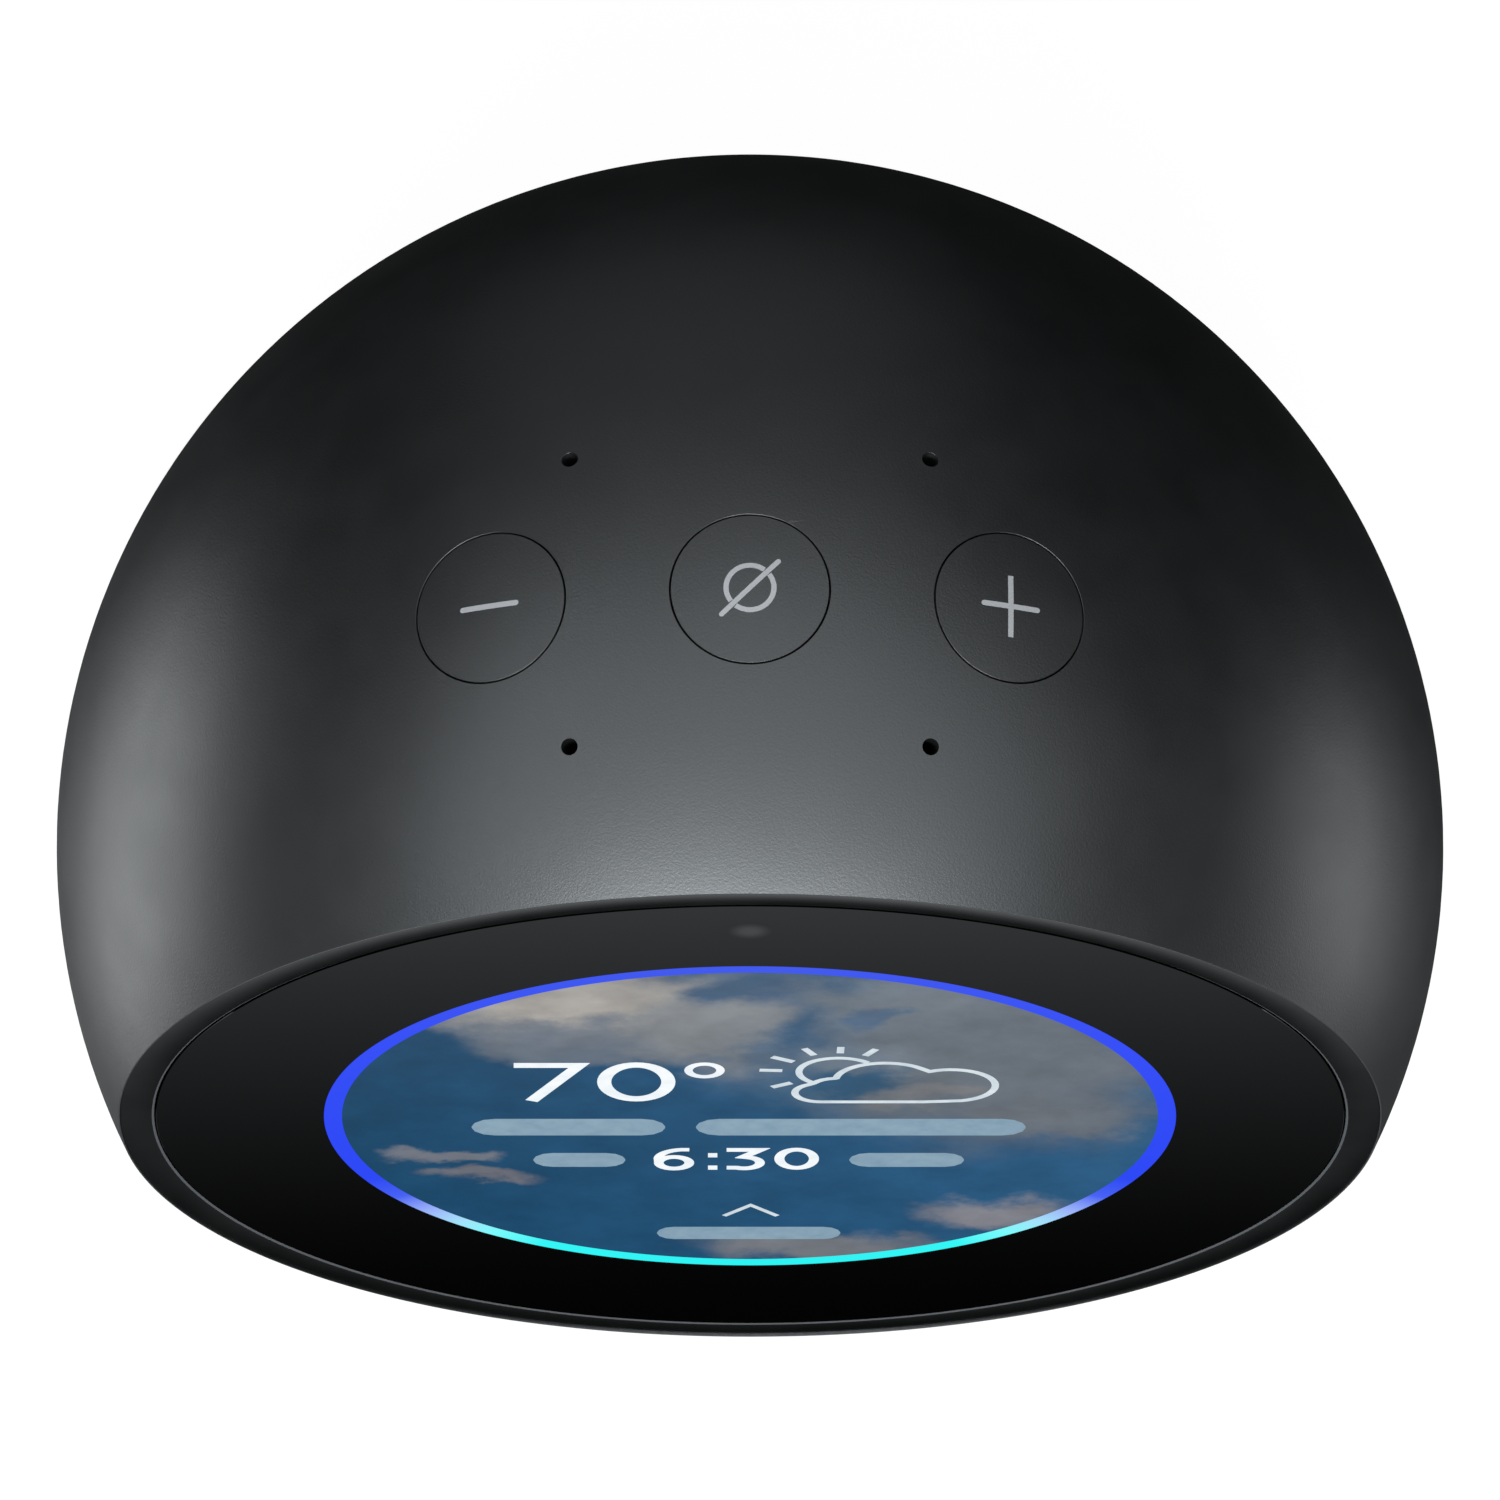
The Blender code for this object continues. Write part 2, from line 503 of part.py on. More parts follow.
def make_ports():
    """A recessed panel with a power socket and a headphone socket behind it."""
    width, height = PANEL_SIZE
    floor_back = PANEL_FLOOR - PANEL_THICK
    panel = slab("port_panel", rounded_box(width, height, PANEL_CORNER), floor_back, 0.056, SHELL_ABS,
                 PORTS)
    pocket = rounded_box(width - 2 * POCKET_WALL, height - 2 * POCKET_WALL, PANEL_CORNER - POCKET_WALL)
    combine(panel, slab("tool_port_pocket", pocket, PANEL_FLOOR, 0.058, TOOL, PORTS))
    drill(panel, "tool_power_hole", POWER_HOLE_R, 0.044, 0.050, PORTS, (POWER_X, 0.0, 0.0), SMALL_STEPS)
    drill(panel, "tool_audio_hole", AUDIO_HOLE_R, 0.044, 0.050, PORTS, (AUDIO_X, 0.0, 0.0), SMALL_STEPS)
    ball = sphere_arc(BALL_R - 0.0001, 0.0, pi, 2 * SMALL_STEPS)
    ball[0] = (0.0, BALL_R - 0.0001)
    ball[-1] = (0.0, -BALL_R + 0.0001)
    combine(panel, turned("tool_panel_ball", ball, 2 * ROUND_STEPS, TOOL, PORTS), "INTERSECT")

    power = slab("dc_jack", rounded_box(POWER_BODY, POWER_BODY, 0.0005), 0.0350, JACK_FACE,
                 SWITCH_PLASTIC, PORTS, (POWER_X, 0.0, 0.0))
    collar = disc("tool_power_collar", POWER_COLLAR_R, 0.044, PANEL_FLOOR - 0.0002, SMALL_STEPS,
                  TOOL, PORTS, (POWER_X, 0.0, 0.0))
    combine(power, collar, "UNION")
    drill(power, "tool_power_bore", POWER_BORE_R, 0.0375, 0.052, PORTS, (POWER_X, 0.0, 0.0),
          SMALL_STEPS)
    disc("dc_pin", PIN_R, 0.0378, 0.0468, TINY_STEPS, BRASS, PORTS, (POWER_X, 0.0, 0.0))

    audio = slab("audio_jack", rounded_box(*AUDIO_BODY, 0.0005), 0.0340, JACK_FACE, SWITCH_PLASTIC,
                 PORTS, (AUDIO_X, 0.0, 0.0))
    nozzle = disc("tool_audio_nozzle", AUDIO_NOZZLE_R, 0.044, PANEL_FLOOR - 0.0002, SMALL_STEPS,
                  TOOL, PORTS, (AUDIO_X, 0.0, 0.0))
    combine(audio, nozzle, "UNION")
    drill(audio, "tool_audio_bore", AUDIO_BORE_R, 0.0350, 0.052, PORTS, (AUDIO_X, 0.0, 0.0),
          SMALL_STEPS)

    board = slab("io_board", rounded_box(0.026, 0.014, 0.001), 0.0, 0.0016, CIRCUIT, PORTS,
                 (0.0, -0.0049, 0.0385))
    board.rotation_euler = (pi / 2, 0.0, 0.0)


# ---- base ----------------------------------------------------------------------------------------------
FOOT_SCREWS = around(3, 0.0200, first=pi / 2 + pi / 3)
PLATE_LOW, PLATE_HIGH = 0.0012, 0.0028
PLATE_R = FOOT_R + 0.0004
DECK_R = 0.0296
DECK_LOW, DECK_HIGH = 0.0055, 0.0070
MOUTH_R = 0.0140            # the hole that the speaker looks down through
GRILLE_IN_R, GRILLE_OUT_R = 0.0232, 0.0242
SLOTS = 24
SLOT_SIZE = (0.004, 0.0032, 0.0012)
POST_R = 0.0024
SINK_HIGH = 0.0021          # depth of the recess round a foot screw's head


def make_base():
    """The inner deck, the slotted ring that lets the sound out, the foot plate and the foot."""
    deck = disc("base_deck", DECK_R, DECK_LOW, DECK_HIGH, ROUND_STEPS, INNER_ABS)
    drill(deck, "tool_deck_mouth", MOUTH_R, 0.0, 0.010, None, (0.0, SPEAKER_Y, 0.0), SMALL_STEPS)

    grille = turned("grille_ring", tube_profile(GRILLE_IN_R, GRILLE_OUT_R, PLATE_HIGH + GAP, DECK_LOW - GAP),
                    ROUND_STEPS, STEEL)
    bm = bmesh.new()
    slot_r = (GRILLE_IN_R + GRILLE_OUT_R) / 2
    for index in range(SLOTS):
        angle = 2 * pi * (index + 0.5) / SLOTS
        middle = Vector((slot_r * cos(angle), slot_r * sin(angle), (PLATE_HIGH + DECK_LOW) / 2))
        box = bmesh.ops.create_cube(bm, size=1.0)["verts"]
        bmesh.ops.scale(bm, vec=SLOT_SIZE, verts=box)
        bmesh.ops.rotate(bm, cent=(0, 0, 0), matrix=Euler((0, 0, angle)).to_matrix(), verts=box)
        bmesh.ops.translate(bm, vec=middle, verts=box)
    combine(grille, add_object("tool_grille_slots", to_mesh("tool_grille_slots", bm), TOOL))

    plate = disc("foot_plate", PLATE_R, PLATE_LOW, PLATE_HIGH, ROUND_STEPS, INNER_ABS)
    for index, (x, y) in enumerate(FOOT_SCREWS, 1):
        post = disc("tool_post_%d" % index, POST_R, PLATE_HIGH + GAP, DECK_LOW + 0.0005, TINY_STEPS,
                    TOOL, None, (x, y, 0.0))
        combine(deck, post, "UNION")
        drill(deck, "tool_post_hole_%d" % index, SCREW_HOLE_R, 0.0, 0.0064, None, (x, y, 0.0))
        drill(plate, "tool_plate_hole_%d" % index, SCREW_HOLE_R, 0.0, 0.005, None, (x, y, 0.0))
        drill(plate, "tool_sink_%d" % index, POST_R, 0.0, SINK_HIGH, None, (x, y, 0.0))
        screw = [(0.0, 0.0013), (0.0021, 0.0013), (0.0021, 0.0018), (0.0010, 0.0018), (0.0010, 0.0060),
                 (0.0, 0.0060)]
        turned("foot_screw_%d" % index, screw, TINY_STEPS, STEEL, None, (x, y, 0.0))

    foot = [(0.0, 0.0), (FOOT_R - 0.0004, 0.0), (FOOT_R, 0.0004), (FOOT_R, PLATE_LOW - GAP),
            (0.0, PLATE_LOW - GAP)]
    turned("rubber_foot", foot, ROUND_STEPS, SILICONE)


make_shell()
glass_back = make_cover()
display_top = make_display(glass_back)
make_carrier(display_top)
make_chassis()
make_electronics()
make_buttons()
make_microphones()
make_speaker()
make_ports()
make_base()
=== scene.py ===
"""Looks of a ball-shaped smart display with a tilted round screen.

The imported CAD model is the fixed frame: every piece made here stands where the CAD puts it.
Sizes are in metres; MM turns the makers' millimetres into them.
"""
from math import acos, atan2, cos, hypot, pi, radians, sin, sqrt

import bmesh
import bpy
from mathutils import Matrix, Vector


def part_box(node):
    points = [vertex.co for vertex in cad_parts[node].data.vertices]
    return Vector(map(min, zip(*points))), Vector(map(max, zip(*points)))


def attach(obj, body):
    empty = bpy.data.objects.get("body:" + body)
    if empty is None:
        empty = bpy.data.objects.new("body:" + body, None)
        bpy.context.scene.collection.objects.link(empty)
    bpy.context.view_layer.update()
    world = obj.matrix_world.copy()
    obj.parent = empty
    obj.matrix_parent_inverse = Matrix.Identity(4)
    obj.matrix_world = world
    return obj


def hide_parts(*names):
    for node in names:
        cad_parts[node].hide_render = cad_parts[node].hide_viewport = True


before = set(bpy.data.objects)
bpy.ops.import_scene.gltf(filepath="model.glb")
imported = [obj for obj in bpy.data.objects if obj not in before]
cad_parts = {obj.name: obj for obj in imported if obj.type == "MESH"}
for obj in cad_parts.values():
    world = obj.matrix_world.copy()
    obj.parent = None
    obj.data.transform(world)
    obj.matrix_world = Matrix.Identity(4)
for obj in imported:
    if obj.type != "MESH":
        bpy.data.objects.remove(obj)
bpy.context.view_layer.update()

MM = 0.001
SHELL_LOW, SHELL_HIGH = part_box("shell")
BALL_R = (SHELL_HIGH.x - SHELL_LOW.x) / 2
BALL_HEIGHT = 45 * MM
WALL = 2.2 * MM
SCREEN_TILT = radians(24.7)
RIM_DEPTH = 21.6 * MM       # ball centre to the plane of the housing's front rim
GLASS_FACE = 21.55 * MM
GLASS_R = 44.48 * MM
LIGHT_RING = (30.55 * MM, 31.9 * MM)
TOP_LEAN = radians(25.7)
BUTTON_STEP = radians(21.87)
BUTTON_R = 5.88 * MM
PORT_DROP = radians(22)
FINE_STEPS = 224            # facets round the largest turned pieces

CENTRE = Vector(((SHELL_LOW.x + SHELL_HIGH.x) / 2, SHELL_HIGH.y - BALL_R, BALL_HEIGHT))
INNER_R = BALL_R - WALL


def facing(turn_x, turn_y=0.0):
    """A frame at the ball's centre whose Z axis points out of the ball at a sub-assembly."""
    return Matrix.Translation(CENTRE) @ Matrix.Rotation(turn_x, 4, "X") @ Matrix.Rotation(turn_y, 4, "Y")


FRONT = facing(pi / 2 - SCREEN_TILT)
PORTS = facing(-pi / 2 - PORT_DROP)
BUTTONS = {
    "minus": facing(-TOP_LEAN, -BUTTON_STEP),
    "mute": facing(-TOP_LEAN),
    "plus": facing(-TOP_LEAN, BUTTON_STEP),
}


# ---- camera, light and floor ---------------------------------------------------------
CAMERA_ELEVATION = radians(93.8)    # just past straight above, so the screen shows at its lower edge
CAMERA_DISTANCE = 4.375
CAMERA_RISE = 7.33 * MM             # the ball sits this far below the picture's middle


def make_camera():
    """A very long lens far away, so the ball's outline stays a true circle."""
    view = Vector((0, -cos(CAMERA_ELEVATION), sin(CAMERA_ELEVATION)))
    rise = Vector((0, sin(CAMERA_ELEVATION), cos(CAMERA_ELEVATION)))
    data = bpy.data.cameras.new("camera")
    data.lens = 1400
    data.sensor_width = 36
    data.clip_start = 0.01
    data.clip_end = 60
    camera = bpy.data.objects.new("camera", data)
    turn = Matrix((Vector((1, 0, 0)), rise, view)).transposed().to_4x4()
    camera.matrix_world = Matrix.Translation(CENTRE + view * CAMERA_DISTANCE + rise * CAMERA_RISE) @ turn
    bpy.context.collection.objects.link(camera)
    bpy.context.scene.camera = camera


SOFTBOX_DISTANCE = 0.9
# name: (azimuth from the front towards +X, elevation, width, height, radiance)
SOFTBOXES = {
    "key_front": (-7.1, 67.2, 0.76, 0.17, 34.0),
    "strip_left": (-110.5, 44.8, 1.04, 0.12, 4.3),
    "fill_top": (142.1, 76.1, 1.37, 1.31, 1.40),
    "bounce_left": (-65.7, -31.1, 1.40, 0.42, 3.2),
    "bounce_right": (63.6, -24.1, 1.16, 0.33, 2.45),
    "fill_back": (186.3, 13.0, 0.97, 1.77, 0.20),
    "low_front": (-12.1, 7.8, 0.73, 0.73, 3.6),
}


def make_lights():
    """Soft boxes round the ball. Their power is worked out from the radiance of their face."""
    for name, (azimuth, elevation, width, height, radiance) in SOFTBOXES.items():
        a, e = radians(azimuth), radians(elevation)
        outward = Vector((sin(a) * cos(e), -cos(a) * cos(e), sin(e)))
        data = bpy.data.lights.new(name, "AREA")
        data.shape = "RECTANGLE"
        data.size = width
        data.size_y = height
        data.energy = radiance * width * height * pi
        lamp = bpy.data.objects.new(name, data)
        lamp.location = CENTRE + outward * SOFTBOX_DISTANCE
        lamp.rotation_euler = outward.to_track_quat("Z", "Y").to_euler()
        lamp.visible_camera = False
        bpy.context.collection.objects.link(lamp)

    world = bpy.data.worlds.new("studio")
    world.use_nodes = True
    tree = world.node_tree
    tree.nodes.clear()
    ray = add(tree, "ShaderNodeLightPath")
    seen = add(tree, "ShaderNodeBackground", {"Color": linear("FFFFFF"), "Strength": 1.0})
    dark = add(tree, "ShaderNodeBackground", {"Color": linear("FFFFFF"), "Strength": 0.004})
    mix = add(tree, "ShaderNodeMixShader", {0: ray.outputs["Is Camera Ray"], 1: dark.outputs[0],
                                            2: seen.outputs[0]})
    add(tree, "ShaderNodeOutputWorld", {"Surface": mix.outputs[0]})
    bpy.context.scene.world = world
    bpy.context.scene.view_settings.view_transform = "Standard"


def stage_sheet(name, corners, material, hidden_from):
    """A flat sheet of the studio that some kinds of light rays pass through."""
    bm = bmesh.new()
    bm.faces.new([bm.verts.new(corner) for corner in corners])
    mesh = bpy.data.meshes.new(name)
    bm.to_mesh(mesh)
    bm.free()
    mesh.materials.append(material)
    sheet = bpy.data.objects.new(name, mesh)
    for ray in hidden_from:
        setattr(sheet, "visible_" + ray, False)
    bpy.context.collection.objects.link(sheet)


def make_floor():
    """A pale, self-lit floor, and the graded card that only the glass shows."""
    reach = 20.0
    corners = [(-reach, -reach, 0), (reach, -reach, 0), (reach, reach, 0), (-reach, reach, 0)]
    stage_sheet("floor", corners, painted_floor(), ("diffuse", "glossy", "transmission", "shadow"))
    side, near, far, height = 220 * MM, -46 * MM, -420 * MM, 0.2 * MM
    corners = [(-side, far, height), (side, far, height), (side, near, height), (-side, near, height)]
    stage_sheet("graded_card", corners, graded_card(), ("camera", "diffuse", "transmission", "shadow"))


# ---- materials ---------------------------------------------------------------------------
def linear(hex_colour):
    """An sRGB hex value as linear RGBA."""
    parts = [int(hex_colour[i:i + 2], 16) / 255 for i in (0, 2, 4)]
    return tuple(p / 12.92 if p <= 0.04045 else ((p + 0.055) / 1.055) ** 2.4 for p in parts) + (1.0,)


def add(tree, kind, inputs=None, **settings):
    """Adds one node with its settings, its values and the links into it."""
    item = tree.nodes.new(kind)
    for key, value in settings.items():
        setattr(item, key, value)
    for key, value in (inputs or {}).items():
        if isinstance(value, bpy.types.NodeSocket):
            tree.links.new(value, item.inputs[key])
        else:
            item.inputs[key].default_value = value
    return item


def blank(name):
    """A material with its tree, its Principled shader and its object coordinates."""
    material = bpy.data.materials.new(name)
    material.use_nodes = True
    tree = material.node_tree
    return material, tree, tree.nodes["Principled BSDF"], add(tree, "ShaderNodeTexCoord").outputs["Object"]


def weathered(tree, place, size_mm, low, high, detail=2.0):
    """Noise of one size in millimetres, spread between two values."""
    noise = add(tree, "ShaderNodeTexNoise", {"Vector": place, "Scale": 1 / (size_mm * MM), "Detail": detail,
                                             "Roughness": 0.6})
    return add(tree, "ShaderNodeMapRange", {"Value": noise.outputs["Fac"], "From Min": 0.3, "From Max": 0.7,
                                            "To Min": low, "To Max": high}).outputs["Result"]


def rough_and_raised(tree, shader, place, roughness, spread, grain_mm, depth_mm):
    """Roughness that wanders over the surface, and a raised grain."""
    tree.links.new(weathered(tree, place, 6.0, roughness - spread, roughness + spread),
                   shader.inputs["Roughness"])
    height = weathered(tree, place, grain_mm, 0.0, 1.0)
    bump = add(tree, "ShaderNodeBump", {"Height": height, "Strength": 1.0, "Distance": depth_mm * MM})
    tree.links.new(bump.outputs["Normal"], shader.inputs["Normal"])


def tinted(tree, shader, factor, dark, light):
    """Base colour between two hex values, driven by a factor."""
    mix = add(tree, "ShaderNodeMix", {0: factor, 6: linear(dark), 7: linear(light)}, data_type="RGBA")
    tree.links.new(mix.outputs[2], shader.inputs["Base Color"])


def moulded(name, dark, light, roughness, grain_mm, depth_mm, spread=0.02, level=0.5):
    """Injection-moulded plastic or rubber with the fine grain of its mould."""
    material, tree, shader, place = blank(name)
    tinted(tree, shader, weathered(tree, place, grain_mm, 0.0, 1.0), dark, light)
    rough_and_raised(tree, shader, place, roughness, spread, grain_mm, depth_mm)
    shader.inputs["Specular IOR Level"].default_value = level
    return material


def soft_touch_abs():
    """ABS from a spark-eroded mould with a soft-touch coat: a broad grey sheen, finely speckled."""
    material = moulded("soft_touch_abs", "020202", "070808", 0.43, 0.18, 0.0062, level=1.0)
    material.node_tree.nodes["Principled BSDF"].inputs["Specular Tint"].default_value = linear("F2FAFF")
    return material


def gloss_trim_abs():
    """ABS polished in the mould: a tighter, darker shine than the housing."""
    return moulded("polished_trim_abs", "010202", "030404", 0.24, 0.25, 0.001, level=0.42)


def trim_edge_painted_highlight():
    """The trim ring's inner chamfer: matt and painted a paler grey than the trim, a painted highlight that
    the lamps light into the thin light line along the glass.
    """
    return moulded("trim_edge_painted_highlight", "383B3E", "3E4144", 0.60, 0.25, 0.001, level=0.1)


def hole_black_painted_shade():
    """Near pure black with almost no shine behind the microphone holes: the boots' own black rubber,
    deepened into painted shade so the pinholes read dark.
    """
    return moulded("microphone_boot_painted_shade", "020202", "040404", 0.9, 0.20, 0.001, level=0.1)


def painted_lens_glint():
    """The camera's lens through the printed glass: a painted glint, a soft grey glow without an edge that
    stands in for the light the lens catches.
    """
    material, tree, shader, place = blank("camera_lens_painted_glint")
    offset = add(tree, "ShaderNodeVectorMath", {0: on_screen(tree, place), 1: (0.0, LENS_Y, 0.0)},
                 operation="SUBTRACT")
    flat = add(tree, "ShaderNodeVectorMath", {0: offset.outputs["Vector"], 1: (1.0, 1.0, 0.0)},
               operation="MULTIPLY")
    reach = add(tree, "ShaderNodeVectorMath", {0: flat.outputs["Vector"]}, operation="LENGTH")
    lens_glint_fade = add(tree, "ShaderNodeMapRange", {"Value": reach.outputs["Value"], "From Min": 0.3 * MM,
                                            "From Max": LENS_R, "To Min": 0.034, "To Max": 0.0},
               interpolation_type="SMOOTHSTEP")
    # painted highlight: the lens's grey spot glows by itself instead of catching light
    tree.links.new(lens_glint_fade.outputs["Result"], shader.inputs["Emission Strength"])
    shader.inputs["Emission Color"].default_value = linear("FFFFFF")
    glass_gloss(tree, shader, place)
    return material


def button_print():
    """Pad-printed grey ink, matt and even, with a slightly uneven edge of pigment."""
    return moulded("pad_printed_ink", "7C8083", "83868A", 0.55, 0.15, 0.0003)


def foot_silicone():
    """Moulded silicone: matt black that holds a little dust."""
    return moulded("moulded_silicone", "060606", "0E0E0F", 0.8, 0.30, 0.004)


def inner_plastic():
    """Glass-filled ABS of the inner frames: grey with a faint flow pattern."""
    return moulded("glass_filled_abs", "1A1C1E", "26292C", 0.6, 0.50, 0.004)


def switch_nylon():
    """Black nylon of sockets and plungers: smooth with a slight drag."""
    return moulded("moulded_nylon", "08080A", "101012", 0.42, 0.25, 0.002)


def cone_paper():
    """Pressed pulp of the speaker cone: dull, with felted fibres."""
    return moulded("pressed_pulp", "14120F", "2B2722", 0.9, 0.40, 0.03)


def drawn_metal(name, dark, light, roughness, line_mm, stretch):
    """Metal with fine marks along X from rolling or drawing."""
    material, tree, shader, place = blank(name)
    along = add(tree, "ShaderNodeVectorMath", {0: place, 1: (1 / stretch, 1.0, 1.0)}, operation="MULTIPLY")
    marks = weathered(tree, along.outputs["Vector"], line_mm, 0.0, 1.0, detail=4.0)
    tinted(tree, shader, marks, dark, light)
    rough_and_raised(tree, shader, along.outputs["Vector"], roughness, 0.05, line_mm, 0.002)
    shader.inputs["Metallic"].default_value = 1.0
    return material


def circuit_board():
    """Solder mask over etched copper: dark green with lighter tracks under it."""
    material, tree, shader, place = blank("solder_masked_board")
    cells = add(tree, "ShaderNodeTexVoronoi", {"Vector": place, "Scale": 1 / (1.6 * MM)},
                feature="DISTANCE_TO_EDGE", distance="EUCLIDEAN")
    tracks = add(tree, "ShaderNodeMapRange", {"Value": cells.outputs["Distance"], "From Min": 0.06,
                                              "From Max": 0.09, "To Min": 1.0, "To Max": 0.0})
    tinted(tree, shader, tracks.outputs["Result"], "0B3A28", "1E6A48")
    rough_and_raised(tree, shader, place, 0.45, 0.05, 0.30, 0.002)
    return material


def banded(name, dark, light, roughness, pitch_mm, direction, metallic):
    """Fine even bands, such as a coil's turns or the conductors of a flat cable."""
    material, tree, shader, place = blank(name)
    bands = add(tree, "ShaderNodeTexWave", {"Vector": place, "Scale": 1 / (pitch_mm * MM) / 3.2},
                bands_direction=direction, wave_profile="SIN")
    tinted(tree, shader, bands.outputs["Fac"], dark, light)
    rough_and_raised(tree, shader, place, roughness, 0.04, 0.40, 0.001)
    shader.inputs["Metallic"].default_value = metallic
    return material


# ---- the lit screen ----------------------------------------------------------------------
SKY = ("174566", "29587E")          # left to right
CLOUDS = (                          # x, y, half width, half height in mm, colour, strength
    (10, 9, 13, 8, "4F6880", 0.75),
    (19, 12, 15, 18, "666D75", 0.95),
    (-13, 25, 15.5, 8.5, "9B9894", 1.0),
    (-14.5, 23, 6, 3, "A8A49F", 0.8),
    (-12.5, 16, 8.5, 4.0, "6C747F", 0.8),
    (-3, 18, 5.5, 9, "808488", 0.9),
    (0.5, 26.5, 4.5, 4.5, "3C5875", 0.95),
    (10, 25, 8, 7, "727A82", 0.85),
    (9.5, 21, 2.6, 2.0, "46617E", 0.8),
    (8, 12.5, 6, 4, "74808C", 0.5),
    (7, 6.5, 4.5, 3, "285373", 0.9),
    (13.5, 5, 4.5, 2.4, "7C7B7C", 0.6),
    (-23.0, -7.6, 4.6, 1.6, "777980", 0.8),
    (-21.5, -12.4, 4.6, 1.8, "79767A", 0.75),
    (19, -20.5, 7, 3.6, "87858A", 0.85),
    (5, -27.5, 9, 3.6, "7D7E82", 0.85),
    (24.5, -0.5, 7, 3.9, "6E7379", 0.7),
)


def on_screen(tree, place):
    """Coordinates in the screen's plane: X to the right, Y up the picture, from its centre."""
    back = FRONT.inverted()
    turn = add(tree, "ShaderNodeMapping", {"Vector": place, "Location": back.translation,
                                           "Rotation": back.to_euler()})
    return turn.outputs["Vector"]


def lit_screen():
    """LCD seen through bonded glass: it glows by itself under the glass's own reflection."""
    material, tree, shader, place = blank("lit_lcd_under_glass")
    place = on_screen(tree, place)
    flat = add(tree, "ShaderNodeSeparateXYZ", {0: place})
    side = add(tree, "ShaderNodeMapRange", {"Value": flat.outputs["X"], "From Min": -30 * MM,
                                            "From Max": 30 * MM})
    picture = add(tree, "ShaderNodeMix", {0: side.outputs["Result"], 6: linear(SKY[0]), 7: linear(SKY[1])},
                  data_type="RGBA").outputs[2]
    swirl = add(tree, "ShaderNodeTexNoise", {"Vector": place, "Scale": 1 / (8 * MM), "Detail": 6.0,
                                             "Roughness": 0.56})
    shift = add(tree, "ShaderNodeVectorMath", {0: swirl.outputs["Color"], 1: (-0.5, -0.5, -0.5)},
                operation="ADD")
    reach = add(tree, "ShaderNodeVectorMath", {0: shift.outputs["Vector"], "Scale": 14 * MM},
                operation="SCALE")
    bent = add(tree, "ShaderNodeVectorMath", {0: place, 1: reach.outputs["Vector"]}, operation="ADD")
    level = add(tree, "ShaderNodeVectorMath", {0: bent.outputs["Vector"], 1: (1.0, 1.0, 0.0)},
                operation="MULTIPLY")
    for x, y, half_width, half_height, colour, strength in CLOUDS:
        offset = add(tree, "ShaderNodeVectorMath", {0: level.outputs["Vector"], 1: (x * MM, y * MM, 0.0)},
                     operation="SUBTRACT")
        scaled = add(tree, "ShaderNodeVectorMath",
                     {0: offset.outputs["Vector"], 1: (1 / (half_width * MM), 1 / (half_height * MM), 0.0)},
                     operation="MULTIPLY")
        spread = add(tree, "ShaderNodeVectorMath", {0: scaled.outputs["Vector"]}, operation="LENGTH")
        cover = add(tree, "ShaderNodeMapRange",
                    {"Value": spread.outputs["Value"], "From Min": 0.45, "From Max": 1.3,
                     "To Min": strength, "To Max": 0.0}, interpolation_type="SMOOTHSTEP")
        picture = add(tree, "ShaderNodeMix", {0: cover.outputs["Result"], 6: picture, 7: linear(colour)},
                      data_type="RGBA").outputs[2]
    tree.links.new(picture, shader.inputs["Emission Color"])
    tree.links.new(weathered(tree, place, 5.0, 0.86, 1.14, detail=5.0), shader.inputs["Emission Strength"])
    glass_gloss(tree, shader, place)
    return material


def glass_gloss(tree, shader, place):
    """Black behind polished glass: no colour of its own, a sharp reflection and faint smears."""
    shader.inputs["Base Color"].default_value = linear("010101")
    tree.links.new(weathered(tree, place, 8.0, 0.03, 0.06), shader.inputs["Roughness"])


def black_glass():
    """The black ink border printed under the cover glass."""
    material, tree, shader, place = blank("black_printed_glass")
    glass_gloss(tree, shader, place)
    return material


RING_COLOURS = (        # degrees from the ring's lowest point, colour
    (0, "2CF2F2"), (30, "34F6F6"), (38, "7AFAFB"), (44, "A4E2FA"), (50, "9CB4FA"), (57, "4661F3"),
    (65, "2946F5"), (120, "2B48F5"), (180, "3350EA"),
)


def lit_ring():
    """The light guide's edge under the glass: blue, turning to cyan at its lowest part."""
    material, tree, shader, place = blank("light_guide_under_glass")
    place = on_screen(tree, place)
    flat = add(tree, "ShaderNodeSeparateXYZ", {0: place})
    down = add(tree, "ShaderNodeMath", {0: flat.outputs["Y"], 1: -1.0}, operation="MULTIPLY")
    angle = add(tree, "ShaderNodeMath", {0: flat.outputs["X"], 1: down.outputs["Value"]},
                operation="ARCTAN2")
    turn = add(tree, "ShaderNodeMath", {0: angle.outputs["Value"]}, operation="ABSOLUTE")
    part = add(tree, "ShaderNodeMath", {0: turn.outputs["Value"], 1: pi}, operation="DIVIDE")
    ramp = add(tree, "ShaderNodeValToRGB", {0: part.outputs["Value"]})
    stops = ramp.color_ramp.elements
    for index, (degrees, colour) in enumerate(RING_COLOURS):
        stop = stops[index] if index < len(stops) else stops.new(degrees / 180)
        stop.position = degrees / 180
        stop.color = linear(colour)
    tree.links.new(ramp.outputs["Color"], shader.inputs["Emission Color"])
    shader.inputs["Emission Strength"].default_value = 1.0
    glass_gloss(tree, shader, place)
    return material


def glowing(name, low, high):
    """White marks of the screen picture, evenly lit."""
    material, tree, shader, place = blank(name)
    mix = add(tree, "ShaderNodeMix", {0: weathered(tree, place, 1.5, 0.0, 1.0), 6: linear(low),
                                      7: linear(high)}, data_type="RGBA")
    tree.links.new(mix.outputs[2], shader.inputs["Emission Color"])
    shader.inputs["Emission Strength"].default_value = 1.0
    glass_gloss(tree, shader, place)
    return material


